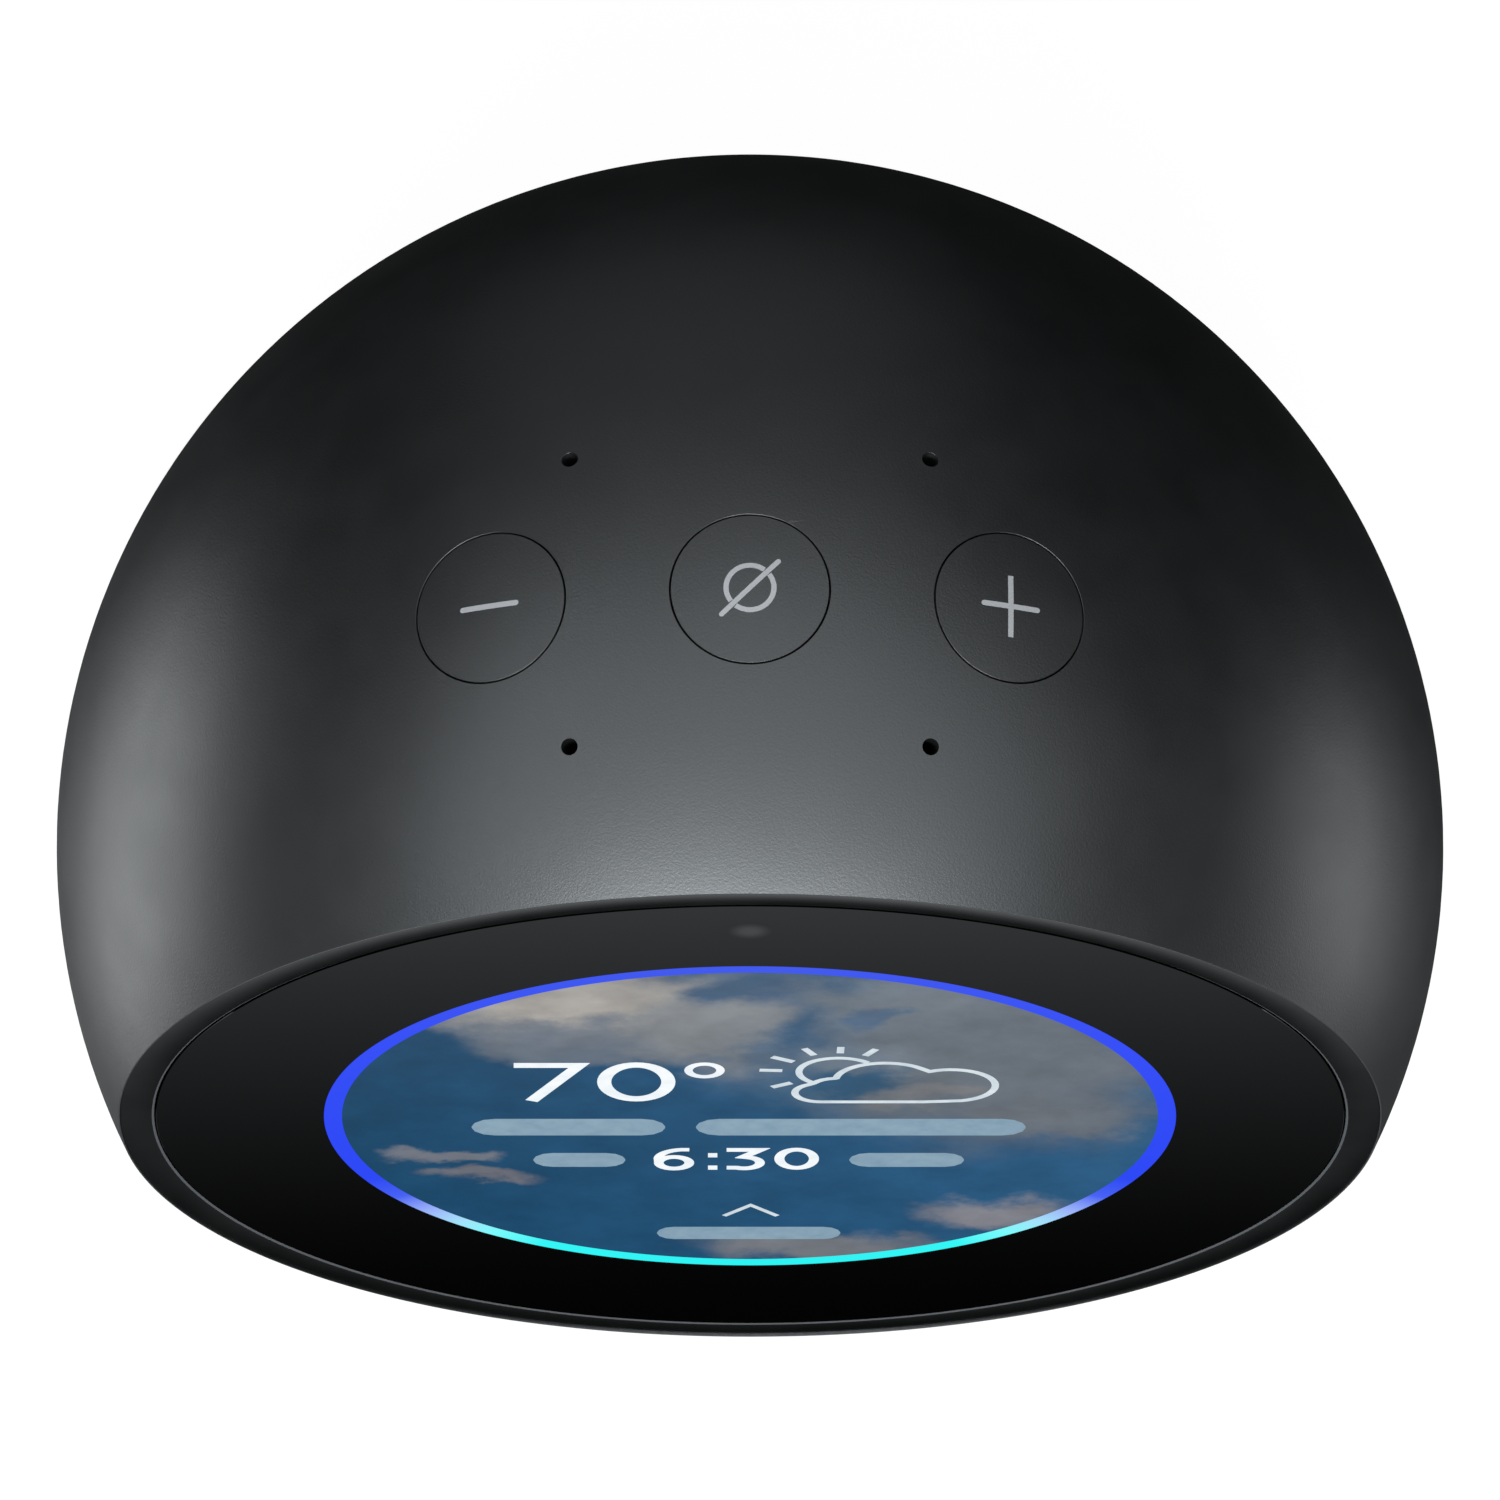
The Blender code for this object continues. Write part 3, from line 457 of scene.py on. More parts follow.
def painted_floor():
    """White studio sweep that is lit from within, with a little matt white on top for a soft shadow."""
    material, tree, shader, place = blank("studio_floor")
    shader.inputs["Base Color"].default_value = linear("404040")
    shader.inputs["Specular IOR Level"].default_value = 0.0
    tree.links.new(weathered(tree, place, 400.0, 0.985, 1.0), shader.inputs["Emission Strength"])
    shader.inputs["Emission Color"].default_value = linear("FCFCFC")
    return material


def graded_card():
    """The dark-to-grey card that gives the glass its soft gradient."""
    material, tree, shader, place = blank("graded_card")
    shader.inputs["Base Color"].default_value = linear("000000")
    shader.inputs["Specular IOR Level"].default_value = 0.0
    flat = add(tree, "ShaderNodeSeparateXYZ", {0: place})
    reach = add(tree, "ShaderNodeMapRange", {"Value": flat.outputs["Y"], "From Min": -50 * MM,
                                             "From Max": -96 * MM, "To Max": 1.0}, clamp=False)
    rise = add(tree, "ShaderNodeMath", {0: reach.outputs["Result"], 1: 2.2}, operation="POWER")
    glow = add(tree, "ShaderNodeMath", {0: rise.outputs["Value"], 1: 0.21, 2: 0.003},
               operation="MULTIPLY_ADD")
    capped = add(tree, "ShaderNodeMath", {0: glow.outputs["Value"], 1: 1.2}, operation="MINIMUM")
    tree.links.new(capped.outputs["Value"], shader.inputs["Emission Strength"])
    shader.inputs["Emission Color"].default_value = linear("F4FAFF")
    return material


# ---- mesh tools --------------------------------------------------------------------------
def arc(x, y, radius, start, end, steps, squeeze=1.0):
    """Points on an arc, angles in degrees; squeeze scales its height."""
    angles = [radians(start + (end - start) * i / steps) for i in range(steps + 1)]
    return [(x + radius * cos(angle), y + radius * squeeze * sin(angle)) for angle in angles]


def straight(start, end, steps):
    """Evenly spaced points from one end of a line to the other."""
    return [tuple(a + (b - a) * i / steps for a, b in zip(start, end)) for i in range(steps + 1)]


def ball_arc(radius, start, end, steps):
    """(radius, height) points on a ball from one polar angle to another."""
    angles = [start + (end - start) * i / steps for i in range(steps + 1)]
    return [(radius * sin(angle), radius * cos(angle)) for angle in angles]


def turned(profile, steps=FINE_STEPS):
    """Turns (radius, height) points about Z. A profile off the axis closes into a ring."""
    bm = bmesh.new()
    verts = [bm.verts.new((radius, 0.0, height)) for radius, height in profile]
    edges = [bm.edges.new(pair) for pair in zip(verts, verts[1:])]
    if profile[0][0] > 0.0:
        edges.append(bm.edges.new((verts[-1], verts[0])))
    bmesh.ops.spin(bm, geom=verts + edges, cent=(0, 0, 0), axis=(0, 0, 1), dvec=(0, 0, 0), angle=2 * pi,
                   steps=steps, use_merge=True, use_duplicate=False)
    return to_mesh(bm)


def rounded_box(width, height, radius, steps=10):
    """Corner points of a flat rectangle with rounded corners, round its middle."""
    points = []
    for corner, (side, end) in enumerate(((1, 1), (-1, 1), (-1, -1), (1, -1))):
        points += arc(side * (width / 2 - radius), end * (height / 2 - radius), radius, corner * 90,
                      corner * 90 + 90, steps)
    return points


def slab(outline, low, high):
    """Extrudes an outline into a closed slab."""
    bm = bmesh.new()
    base = bm.faces.new([bm.verts.new((a, b, low)) for a, b in outline])
    grown = bmesh.ops.extrude_face_region(bm, geom=[base])
    bmesh.ops.translate(bm, verts=[v for v in grown["geom"] if isinstance(v, bmesh.types.BMVert)],
                        vec=(0.0, 0.0, high - low))
    return to_mesh(bm)


def to_mesh(bm):
    """Closes an edit mesh: doubles merged, faces turned outwards."""
    bmesh.ops.remove_doubles(bm, verts=bm.verts, dist=1e-7)
    bmesh.ops.recalc_face_normals(bm, faces=bm.faces)
    mesh = bpy.data.meshes.new("piece")
    bm.to_mesh(mesh)
    bm.free()
    return mesh


def joined(pieces):
    """One mesh from (mesh, frame) pairs, in world places."""
    bm = bmesh.new()
    for mesh, place in pieces:
        mesh.transform(place)
        bm.from_mesh(mesh)
    mesh = bpy.data.meshes.new("joined")
    bm.to_mesh(mesh)
    bm.free()
    return mesh


def cut(mesh, place, tool):
    """Takes the tool mesh, in world places, out of a mesh in its own frame."""
    body = bpy.data.objects.new("body", mesh)
    body.matrix_world = place
    cutter = bpy.data.objects.new("cutter", tool)
    for obj in (body, cutter):
        bpy.context.collection.objects.link(obj)
    change = body.modifiers.new("cut", "BOOLEAN")
    change.object = cutter
    bpy.context.view_layer.update()
    result = bpy.data.meshes.new_from_object(body.evaluated_get(bpy.context.evaluated_depsgraph_get()))
    for obj in (body, cutter):
        bpy.data.objects.remove(obj)
    return result


ON_BALL = 0.012 * MM          # a point this near the ball's radius lies on the ball


def smooth(mesh, ball=None):
    """Smooth shading with crisp edges. Faces on a ball of this radius get its exact normals."""
    mesh.shade_smooth()
    mesh.set_sharp_from_angle(angle=radians(35))
    if ball is None:
        return mesh
    normals = [Vector(corner.vector) for corner in mesh.corner_normals]
    for face in mesh.polygons:
        points = [mesh.vertices[index].co for index in face.vertices]
        if all(abs(point.length - ball) < ON_BALL for point in points):
            for loop, point in zip(face.loop_indices, points):
                normals[loop] = point.normalized()
    mesh.normals_split_custom_set(normals)
    return mesh


def piece(name, mesh, place, body, slot, materials, *nodes):
    """Stands a finished mesh in its place, gives it its finish and hands it to its body."""
    mesh.transform(place)
    obj = bpy.data.objects.new(name, mesh)
    bpy.context.collection.objects.link(obj)
    mesh.materials.clear()
    for material in materials:
        mesh.materials.append(material)
    bpy.context.view_layer.update()
    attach(obj, body)
    if nodes:
        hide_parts(*nodes)
    return obj


def stroke(bm, route, width, height, thick, closed=False, caps=True):
    """A band of ink along a route of (x, y) points, lying on the surface height(x, y)."""
    points = [Vector(point) for point in route]
    count = len(points)
    stations = []
    for i, here in enumerate(points):
        before = points[i - 1] if closed or i else here
        after = points[(i + 1) % count] if closed or i < count - 1 else here
        into = (here - before).normalized() if here != before else (after - here).normalized()
        out = (after - here).normalized() if after != here else into
        along = (into + out).normalized()
        mitre = 1 / max(along.dot(out), 0.35)
        stations.append((here, along, width / 2 * mitre))
    if caps and not closed:
        rounds = [radians(angle) for angle in (85, 60, 30)]
        first, last = stations[0], stations[-1]
        lead = [(first[0] - first[1] * width / 2 * sin(a), first[1], width / 2 * cos(a)) for a in rounds]
        tail = [(last[0] + last[1] * width / 2 * sin(a), last[1], width / 2 * cos(a)) for a in rounds[::-1]]
        stations = lead + stations + tail
    rows = []
    for middle, along, half in stations:
        across = Vector((-along.y, along.x)) * half
        row = []
        for side, drop in ((1, 0.0), (-1, 0.0), (-1, thick), (1, thick)):
            x, y = middle + across * side
            row.append(bm.verts.new((x, y, height(x, y) - drop)))
        rows.append(row)
    pairs = list(zip(rows, rows[1:])) + ([(rows[-1], rows[0])] if closed else [])
    for one, two in pairs:
        for k in range(4):
            bm.faces.new((one[k], one[(k + 1) % 4], two[(k + 1) % 4], two[k]))
    if not closed:
        bm.faces.new(rows[0][::-1])
        bm.faces.new(rows[-1])


# ---- the ball ------------------------------------------------------------------------------
RIM_FILLET = 0.05 * MM
LIP_R = 47.19 * MM
LIP_FILLET = 0.02 * MM
SEAT_R = 45.6 * MM
SEAT_DEPTH = 19.3 * MM
SEAT_THICK = 1.5 * MM
WALL_END = 17.0 * MM          # the inside of the wall stops here, measured to the front
SHELL_BOTTOM = 4.4 * MM
BORE_R = 6.00 * MM
BORE_FILLET = 0.06 * MM
MIC_R = 0.63 * MM
MIC_FILLET = 0.04 * MM
DRILL_LOW = 44 * MM
DRILL_HIGH = 56 * MM
TRIM_BLOCK = 120 * MM
MIC_PLACES = ((-13.4, 11.5), (13.4, 11.5), (13.4, -11.5), (-13.4, -11.5))
PANEL_WIDTH = 29.4 * MM
PANEL_HEIGHT = 12.4 * MM
PANEL_GAP = 0.3 * MM
WINDOW_CORNER = 4.3 * MM


def bore_tool(radius, fillet, steps):
    """A round drill along Z that also rounds the hole's outer edge over."""
    middle_r = radius + fillet
    middle_h = sqrt((BALL_R - fillet) ** 2 - middle_r ** 2)
    lean = atan2(middle_r, middle_h)
    turns = 6
    edge = [(middle_r + fillet * cos(pi - (pi / 2 + lean) * i / turns),
             middle_h + fillet * sin(pi - (pi / 2 + lean) * i / turns)) for i in range(turns + 1)]
    past = (edge[-1][0] + 0.02 * MM * sin(lean), edge[-1][1] + 0.02 * MM * cos(lean))
    return turned([(0.0, DRILL_LOW), (radius, DRILL_LOW)] + edge
                  + [past, (past[0], DRILL_HIGH), (0.0, DRILL_HIGH)], steps)


def make_ball():
    """The hollow ball, cut flat at the front and underneath, with its bores and pinholes."""
    fillet_r = sqrt((BALL_R - RIM_FILLET) ** 2 - (RIM_DEPTH - RIM_FILLET) ** 2)
    fillet_h = RIM_DEPTH - RIM_FILLET
    rim_angle = atan2(fillet_r, fillet_h)
    rim = [(fillet_r + x, fillet_h + height) for x, height in ball_arc(RIM_FILLET, 0.0, rim_angle, 8)]
    outer = ball_arc(BALL_R, rim_angle, pi, 76)[1:]
    outer[-1] = (0.0, -BALL_R)
    inner = ball_arc(INNER_R, pi, acos(WALL_END / INNER_R), 30)
    inner[0] = (0.0, -INNER_R)
    front = [(SEAT_R, SEAT_DEPTH - SEAT_THICK), (SEAT_R, SEAT_DEPTH), (LIP_R, SEAT_DEPTH),
             (LIP_R, RIM_DEPTH - LIP_FILLET), (LIP_R + 0.3 * LIP_FILLET, RIM_DEPTH - 0.3 * LIP_FILLET),
             (LIP_R + LIP_FILLET, RIM_DEPTH)]
    ball = turned(inner + front + rim + outer)

    tools = [(bore_tool(BORE_R, BORE_FILLET, 96), place) for place in BUTTONS.values()]
    for x, y in MIC_PLACES:
        across, along = x * MM, y * MM
        out = Vector((across, along, sqrt(BALL_R ** 2 - across ** 2 - along ** 2)))
        tools.append((bore_tool(MIC_R, MIC_FILLET, 32),
                      facing(-TOP_LEAN) @ out.to_track_quat("Z", "Y").to_matrix().to_4x4()))
    window = rounded_box(PANEL_WIDTH + 2 * PANEL_GAP, PANEL_HEIGHT + 2 * PANEL_GAP, WINDOW_CORNER)
    tools.append((slab(window, DRILL_LOW, DRILL_HIGH), PORTS))
    block = rounded_box(TRIM_BLOCK, TRIM_BLOCK, 10 * MM)
    tools.append((slab(block, -20 * MM, SHELL_BOTTOM), Matrix.Identity(4)))
    ball = cut(ball, FRONT, joined(tools))
    piece("housing_ball", smooth(ball, BALL_R), FRONT, "housing", "shell_abs", [SOFT_TOUCH], "shell")


CAP_EDGE = 0.05 * MM
FLANGE_R = 7.0 * MM
FLANGE_THICK = 0.8 * MM
STEM_R = 1.6 * MM
STEM_LOW = 47.6 * MM
INK_LIFT, INK_THICK = 0.012 * MM, 0.03 * MM
BAR = 0.42 * MM               # width of the printed bars
BAR_HALF = 2.13 * MM
BAR_TALL = 2.45 * MM
MUTE_THIN = 0.92              # the muted sign's lines against the other bars
MUTE_R = 1.78 * MM
SLASH_END = 2.98 * 0.7071 * MM
BUTTON_SIGNS = {              # routes on each cap, and whether their ends are round
    "minus": [(straight((-BAR_HALF, 0.0), (BAR_HALF, 0.0), 16), True)],
    "mute": [(arc(0, 0, MUTE_R, 53, 217, 28), False), (arc(0, 0, MUTE_R, 233, 397, 28), False),
             (straight((-SLASH_END, -SLASH_END), (SLASH_END, SLASH_END), 24), True)],
    "plus": [(straight((-BAR_HALF, 0.0), (BAR_HALF, 0.0), 16), True),
             (straight((0.0, BAR / 2), (0.0, BAR_TALL), 8), False),
             (straight((0.0, -BAR / 2), (0.0, -BAR_TALL), 8), False)],
}


def on_cap(x, y):
    """The height of the ink's face above a point of a button's own frame."""
    return sqrt(BALL_R ** 2 - x ** 2 - y ** 2) + INK_LIFT


def button_cap():
    """A cap that carries on the ball's surface, with the flange and the stem under it."""
    middle_r = BUTTON_R - CAP_EDGE
    middle_h = sqrt((BALL_R - CAP_EDGE) ** 2 - middle_r ** 2)
    lean = atan2(middle_r, middle_h)
    crown = ball_arc(BALL_R, 0.0, lean, 24)
    crown[0] = (0.0, BALL_R)
    edge = [(middle_r + x, middle_h + height) for x, height in ball_arc(CAP_EDGE, lean, pi / 2, 6)[1:]]
    flange_high = sqrt(INNER_R ** 2 - FLANGE_R ** 2) - 0.4 * MM
    flange_low = flange_high - FLANGE_THICK
    skirt = [(BUTTON_R, flange_high), (FLANGE_R, flange_high), (FLANGE_R, flange_low), (STEM_R, flange_low),
             (STEM_R, STEM_LOW), (0.0, STEM_LOW)]
    return smooth(turned(crown + edge + skirt, 96), BALL_R)


def make_buttons():
    """Three press buttons, each with the printed sign that rides on its cap."""
    for name, place in BUTTONS.items():
        body = name + "_button"
        piece("button_cap_" + name, button_cap(), place, body, "button_abs", [SOFT_TOUCH], "button_" + name)
        width = BAR * MUTE_THIN if name == "mute" else BAR
        bm = bmesh.new()
        for route, round_ends in BUTTON_SIGNS[name]:
            stroke(bm, route, width, on_cap, INK_THICK, caps=round_ends)
        piece("button_mark_" + name, smooth(to_mesh(bm)), place, body, "button_abs", [PRINT])


# ---- the front -----------------------------------------------------------------------------
RING_IN_R = 44.62 * MM
RING_OUT_R = 47.16 * MM
RING_EDGE = 0.17 * MM         # the chamfer along the ring's inner edge
RING_ROUND = 0.04 * MM        # the fillet along its outer edge
RING_FALL = 0.04 * MM         # the ring's face leans back towards the housing
RING_LOW = SEAT_DEPTH + 0.3 * MM
MARK_LIFT = 0.012 * MM
GLASS_EDGE = 0.03 * MM
GLASS_THICK = 1.2 * MM


def make_rim_ring():
    """The trim ring round the glass; its inner chamfer is painted paler, as a highlight line."""
    inner = [(RING_IN_R, GLASS_FACE - RING_EDGE / 2), (RING_IN_R + RING_EDGE, GLASS_FACE)]
    outer = arc(RING_OUT_R - RING_ROUND, GLASS_FACE - RING_FALL - RING_ROUND, RING_ROUND, 86, 0, 4)
    ring = turned([(RING_IN_R, RING_LOW)] + inner + outer + [(RING_OUT_R, RING_LOW)])
    obj = piece("rim_ring", smooth(ring), FRONT, "housing", "trim_abs", [GLOSS_TRIM, PAINTED_EDGE_LINE],
                "trim_ring")
    # the chamfer's faces get the paler grey of the painted highlight line
    for face in obj.data.polygons:
        middle = FRONT.inverted() @ face.center
        if middle.z > GLASS_FACE - RING_EDGE and hypot(middle.x, middle.y) < RING_IN_R + RING_EDGE * 0.9:
            face.material_index = 1


def make_glass():
    """One disc of glass: the picture, the lit ring and the black border are its zones."""
    picture, ring = LIGHT_RING
    profile = [(0.0, GLASS_FACE), (picture / 2, GLASS_FACE), (picture, GLASS_FACE), (ring, GLASS_FACE),
               (GLASS_R - GLASS_EDGE, GLASS_FACE), (GLASS_R, GLASS_FACE - GLASS_EDGE),
               (GLASS_R, GLASS_FACE - GLASS_THICK), (0.0, GLASS_FACE - GLASS_THICK)]
    glass = turned(profile)
    obj = piece("front_glass", smooth(glass), FRONT, "housing", "cover_glass",
                [BLACK_GLASS, LIT_SCREEN, LIT_RING], "cover_glass")
    for face in obj.data.polygons:
        middle = FRONT.inverted() @ face.center
        reach = hypot(middle.x, middle.y)
        if middle.z > GLASS_FACE - 0.01 * MM and reach < ring:
            face.material_index = 1 if reach < picture else 2


LIFT_STEP = 0.25              # neighbouring marks lie at slightly different heights, so none share a face
BAR_WIDTH = 1.5               # anything wider than this many millimetres is a bar with round ends


def marks(name, routes, material):
    """Marks of the picture as bands on the glass: (route in mm, width in mm, closed)."""
    bm = bmesh.new()
    for index, (route, width, closed) in enumerate(routes):
        lift = MARK_LIFT * (1 + index % 4 * LIFT_STEP)
        stroke(bm, [(x * MM, y * MM) for x, y in route], width * MM, lambda x, y: GLASS_FACE + lift,
               lift + 0.004 * MM, closed, caps=width > BAR_WIDTH or closed)
    piece(name, smooth(to_mesh(bm)), FRONT, "housing", "lcd_picture", [material])


def make_marks():
    """Temperature, weather and time as generic signs; words are plain bars."""
    numerals = [
        ([(-17.65, 10.95), (-12.75, 10.95), (-16.35, 3.4)], 1.0, False),
        (arc(-8.5, 7.45, 2.4, 90, 450, 40, 1.5)[:-1], 1.05, True),
        (arc(-3.4, 9.9, 1.2, 0, 360, 28, 1.12)[:-1], 0.62, True),
    ]
    base = -11.3                # foot of the clock's digits
    numerals += [
        (arc(-5.7, base + 1.5, 1.15, 90, 450, 26, 1.08)[:-1], 0.72, True),
        ([(-6.86, base + 1.7)] + arc(-4.9, base + 2.3, 2.0, 175, 96, 10) + [(-4.55, base + 4.28)], 0.68,
         False),
        ([(-3.15, base + 0.45), (-2.45, base + 0.45)], 0.85, False),
        ([(-3.15, base + 3.1), (-2.45, base + 3.1)], 0.85, False),
        ([(-1.75, base + 4.25), (0.75, base + 4.25), (-0.5, base + 2.75)]
         + arc(-0.45, base + 1.5, 1.2, 78, -118, 16) + [(-1.75, base + 0.45)], 0.72, False),
        (arc(3.5, base + 2.35, 1.3, 90, 450, 32, 1.5)[:-1], 0.75, True),
    ]
    marks("screen_numerals", numerals, BRIGHT_MARKS)

    sun = (6.6, 9.55)
    cloud = (arc(5.3, 5.15, 1.95, 270, 118, 12) + arc(6.5, 6.2, 2.0, 150, 95, 4)
             + arc(10.1, 7.75, 3.7, 172, 44, 16) + arc(15.0, 6.7, 3.35, 118, -76, 22)
             + [(13.0, 3.2), (9.0, 3.2)])
    weather = [(cloud, 0.55, True), (arc(*sun, 2.95, 228, 42, 22), 0.52, False)]
    rays = ((176, 4.2, 5.9), (147, 4.0, 5.9), (117, 4.0, 5.6), (88, 4.0, 5.3), (60, 4.0, 5.6),
            (213, 4.2, 5.9))
    for angle, near, far in rays:
        ends = [arc(*sun, reach, angle, angle, 1)[0] for reach in (near, far)]
        weather.append((ends, 0.55, False))
    marks("screen_weather", weather, SOFT_MARKS)

    words = [
        ([(-19.1, -2.2), (-8.1, -2.2)], 3.5, False),
        ([(-2.3, -2.2), (18.9, -2.2)], 3.5, False),
        ([(-14.8, -9.2), (-10.8, -9.2)], 2.9, False),
        ([(8.9, -9.2), (14.6, -9.2)], 2.9, False),
        ([(-5.7, -24.9), (5.5, -24.9)], 2.6, False),
    ]
    marks("screen_words", words, DIM_MARKS)
    marks("screen_chevron", [([(-1.95, -21.2), (0.05, -18.9), (2.05, -21.2)], 0.42, False)], SOFT_MARKS)


LENS_Y = 39.25 * MM
LENS_R = 1.8 * MM


def make_camera_window():
    """The camera's little lens behind the printed border, shown by its painted glint."""
    disc = slab(arc(0, LENS_Y, LENS_R, 0, 360, 48)[:-1], GLASS_FACE - 0.3 * MM, GLASS_FACE + 0.004 * MM)
    piece("camera_window", smooth(disc), FRONT, "housing", "inner_abs", [LENS_PAINTED_GLINT])


# ---- sockets and foot ------------------------------------------------------------------------
PANEL_FLOOR = 48.3 * MM
PANEL_THICK = 1.5 * MM
PANEL_CORNER = 4.0 * MM
PANEL_LIP = 1.2 * MM          # the raised border round the dished floor
PANEL_SINK = 0.1 * MM         # the panel lies this far below the ball's surface
SOCKET_HOLES = ((-6.8 * MM, 3.7 * MM), (7.2 * MM, 2.6 * MM))     # place across and radius: power, sound


def make_socket_panel():
    """A dished oval panel in the back with a power socket's and a headphone socket's hole."""
    panel = slab(rounded_box(PANEL_WIDTH, PANEL_HEIGHT, PANEL_CORNER), PANEL_FLOOR - PANEL_THICK, DRILL_HIGH)
    outside = ball_arc(BALL_R - PANEL_SINK, 0.0, radians(40), 60)
    outside[0] = (0.0, BALL_R - PANEL_SINK)
    reach = outside[-1][0]
    above = turned(outside + [(reach, 60 * MM), (0.0, 60 * MM)], 160)
    panel = cut(panel, PORTS, joined([(above, PORTS)]))
    dish = rounded_box(PANEL_WIDTH - 2 * PANEL_LIP, PANEL_HEIGHT - 2 * PANEL_LIP, 2.8 * MM)
    panel = cut(panel, PORTS, joined([(slab(dish, PANEL_FLOOR, 58 * MM), PORTS)]))
    drills = [(slab(arc(0, 0, radius, 0, 360, 64)[:-1], DRILL_LOW, 50 * MM),
               PORTS @ Matrix.Translation((x, 0.0, 0.0))) for x, radius in SOCKET_HOLES]
    panel = cut(panel, PORTS, joined(drills))
    piece("socket_panel", smooth(panel), PORTS, "housing", "shell_abs", [SOCKET_PANEL], "port_panel")


FOOT_EDGE = 0.4 * MM
PLATE_EDGE = 0.25 * MM
FOOT_STEPS = 160
GRILLE_WALL = 1.0 * MM
GRILLE_SLOTS = 24
SLOT_WIDTH, SLOT_HEIGHT, SLOT_CORNER = 3.2 * MM, 1.2 * MM, 0.55 * MM
OUTWARDS = Matrix(((0, 0, 1), (1, 0, 0), (0, 1, 0))).to_4x4()      # turns a slot's depth to point along X


def make_foot():
    """The rubber foot and the slotted ring above it that lets the speaker's sound out."""
    low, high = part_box("rubber_foot")
    radius = high.x
    profile = [(0.0, low.z), (radius - 1.5 * FOOT_EDGE, low.z)]
    profile += arc(radius - FOOT_EDGE, low.z + FOOT_EDGE, FOOT_EDGE, -80, 0, 5)
    profile += [(radius, high.z), (0.0, high.z)]
    piece("foot_pad", smooth(turned(profile, FOOT_STEPS)), Matrix.Identity(4), "housing", "silicone",
          [SILICONE], "rubber_foot")

    low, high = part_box("foot_plate")
    radius = high.x
    profile = [(0.0, low.z), (radius - PLATE_EDGE, low.z), (radius, low.z + PLATE_EDGE),
               (radius, high.z - PLATE_EDGE), (radius - PLATE_EDGE, high.z), (0.0, high.z)]
    piece("foot_disc", smooth(turned(profile, FOOT_STEPS)), Matrix.Identity(4), "housing", "inner_abs",
          [NYLON], "foot_plate", *["foot_screw_%d" % number for number in (1, 2, 3)])

    low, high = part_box("grille_ring")
    radius = high.x
    ring = turned([(radius - GRILLE_WALL, low.z), (radius, low.z), (radius, high.z),
                   (radius - GRILLE_WALL, high.z)], 192)
    middle = Matrix.Translation((0.0, 0.0, (low.z + high.z) / 2))
    slots = []
    for index in range(GRILLE_SLOTS):
        slot = slab(rounded_box(SLOT_WIDTH, SLOT_HEIGHT, SLOT_CORNER, 5), radius - 3 * MM, radius + 2 * MM)
        turn = Matrix.Rotation(2 * pi * (index + 0.5) / GRILLE_SLOTS, 4, "Z")
        slots.append((slot, turn @ middle @ OUTWARDS))
    ring = cut(ring, Matrix.Identity(4), joined(slots))
    piece("sound_grille", smooth(ring), Matrix.Identity(4), "housing", "steel", [STEEL], "grille_ring")


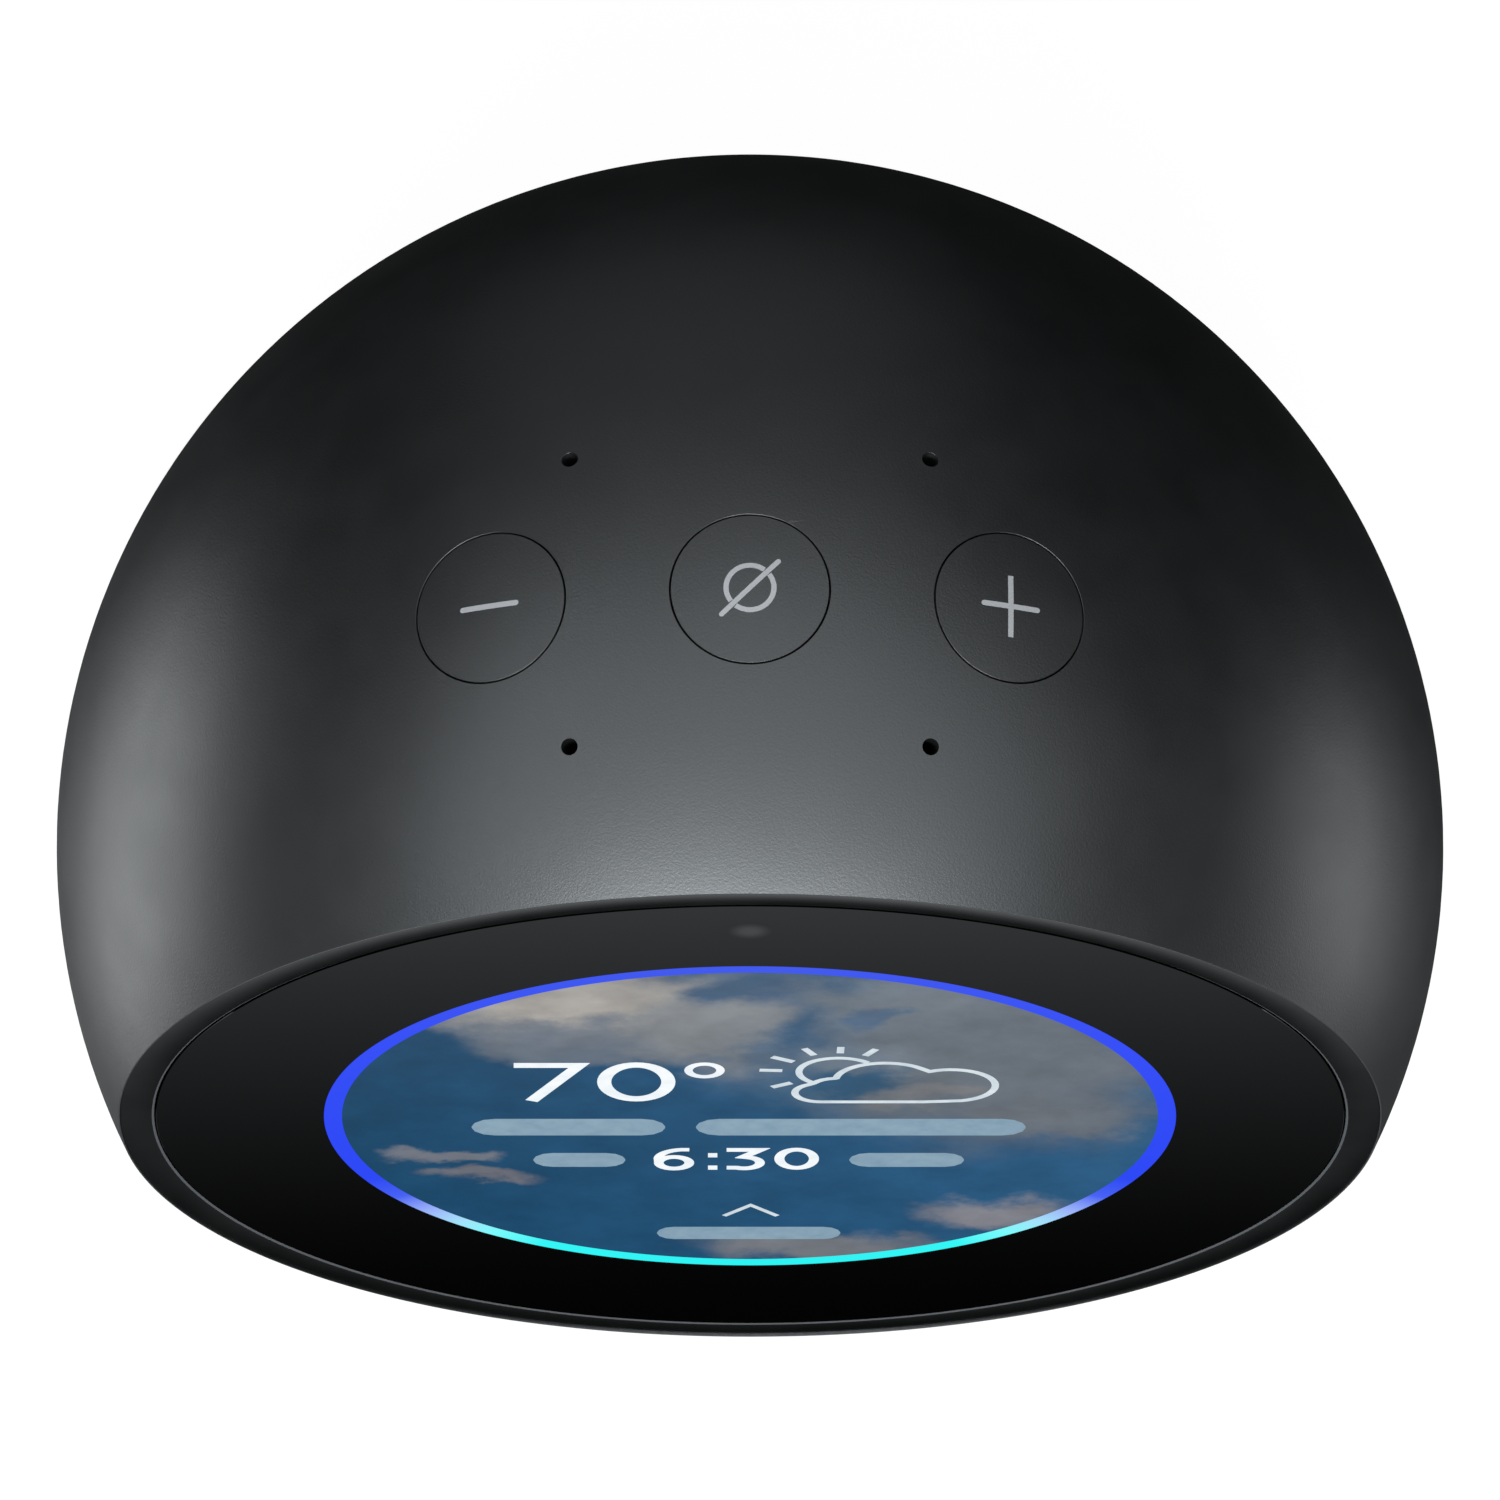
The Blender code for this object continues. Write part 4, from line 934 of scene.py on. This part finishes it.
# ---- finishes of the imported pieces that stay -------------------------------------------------
def finish_frame():
    """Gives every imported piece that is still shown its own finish."""
    finishes = (
        (INNER_ABS, "base_deck bezel_carrier button_carrier speaker_chamber"),
        (NYLON, "dc_jack audio_jack camera_module plunger_minus plunger_mute plunger_plus"),
        (STEEL, "display_tray processor_shield speaker_frame switch_minus switch_mute switch_plus "
                "chassis_screw_1 chassis_screw_2 chassis_screw_3 chassis_screw_4"),
        (CAST_ALUMINIUM, "chassis heat_sink"),
        (BOARD, "main_board io_board"),
        (FLEX, "display_flex button_flex wifi_antenna_left wifi_antenna_right"),
        (SILICONE, "speaker_surround"),
        # painted shade: boots and microphones go near pure black so the pinholes read dark
        (HOLE_SHADE_BLACK, "mic_boot_1 mic_boot_2 mic_boot_3 mic_boot_4 "
                     "microphone_1 microphone_2 microphone_3 microphone_4"),
        (PULP, "speaker_cone dust_cap"),
        (MAGNET, "speaker_magnet"),
        (COIL, "voice_coil"),
        (BRASS, "dc_pin"),
        (DIFFUSER, "light_guide"),
        (PANEL_GLASS, "lcd_panel"),
    )
    for material, names in finishes:
        for name in names.split():
            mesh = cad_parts[name].data
            mesh.materials.clear()
            mesh.materials.append(material)


SOFT_TOUCH = soft_touch_abs()
GLOSS_TRIM = gloss_trim_abs()
PAINTED_EDGE_LINE = trim_edge_painted_highlight()
HOLE_SHADE_BLACK = hole_black_painted_shade()
SOCKET_PANEL = moulded("fine_textured_abs", "030303", "080909", 0.50, 0.20, 0.002)
PRINT = button_print()
SILICONE = foot_silicone()
INNER_ABS = inner_plastic()
NYLON = switch_nylon()
PULP = cone_paper()
BLACK_GLASS = black_glass()
LIT_SCREEN = lit_screen()
LIT_RING = lit_ring()
BRIGHT_MARKS = glowing("lcd_white_marks", "EAF2F7", "FAFDFF")
SOFT_MARKS = glowing("lcd_fine_marks", "C6D3DB", "DDE7ED")
DIM_MARKS = glowing("lcd_dim_marks", "7F9CAF", "8CA7B8")
LENS_PAINTED_GLINT = painted_lens_glint()
STEEL = drawn_metal("stamped_steel", "7C8084", "A3A7AB", 0.35, 0.12, 12.0)
CAST_ALUMINIUM = drawn_metal("cast_aluminium", "74787D", "92969B", 0.5, 0.35, 1.0)
MAGNET = drawn_metal("nickel_plated_magnet", "7F8287", "9A9DA2", 0.3, 0.25, 2.0)
BRASS = drawn_metal("gold_flashed_brass", "B79A5A", "D9C283", 0.28, 0.15, 3.0)
BOARD = circuit_board()
FLEX = banded("polyimide_flex", "8F5416", "C98330", 0.4, 0.6, "X", 0.0)
COIL = banded("enamelled_copper_coil", "7A3C1C", "C87848", 0.35, 0.25, "Z", 1.0)
DIFFUSER = moulded("opal_acrylic", "D9DEE1", "ECEFF1", 0.35, 0.40, 0.001)
PANEL_GLASS = moulded("lcd_glass", "14385F", "1B4674", 0.15, 0.10, 0.0004)

make_camera()
make_lights()
make_floor()
finish_frame()
make_ball()
make_rim_ring()
make_glass()
make_marks()
make_camera_window()
make_buttons()
make_socket_panel()
make_foot()
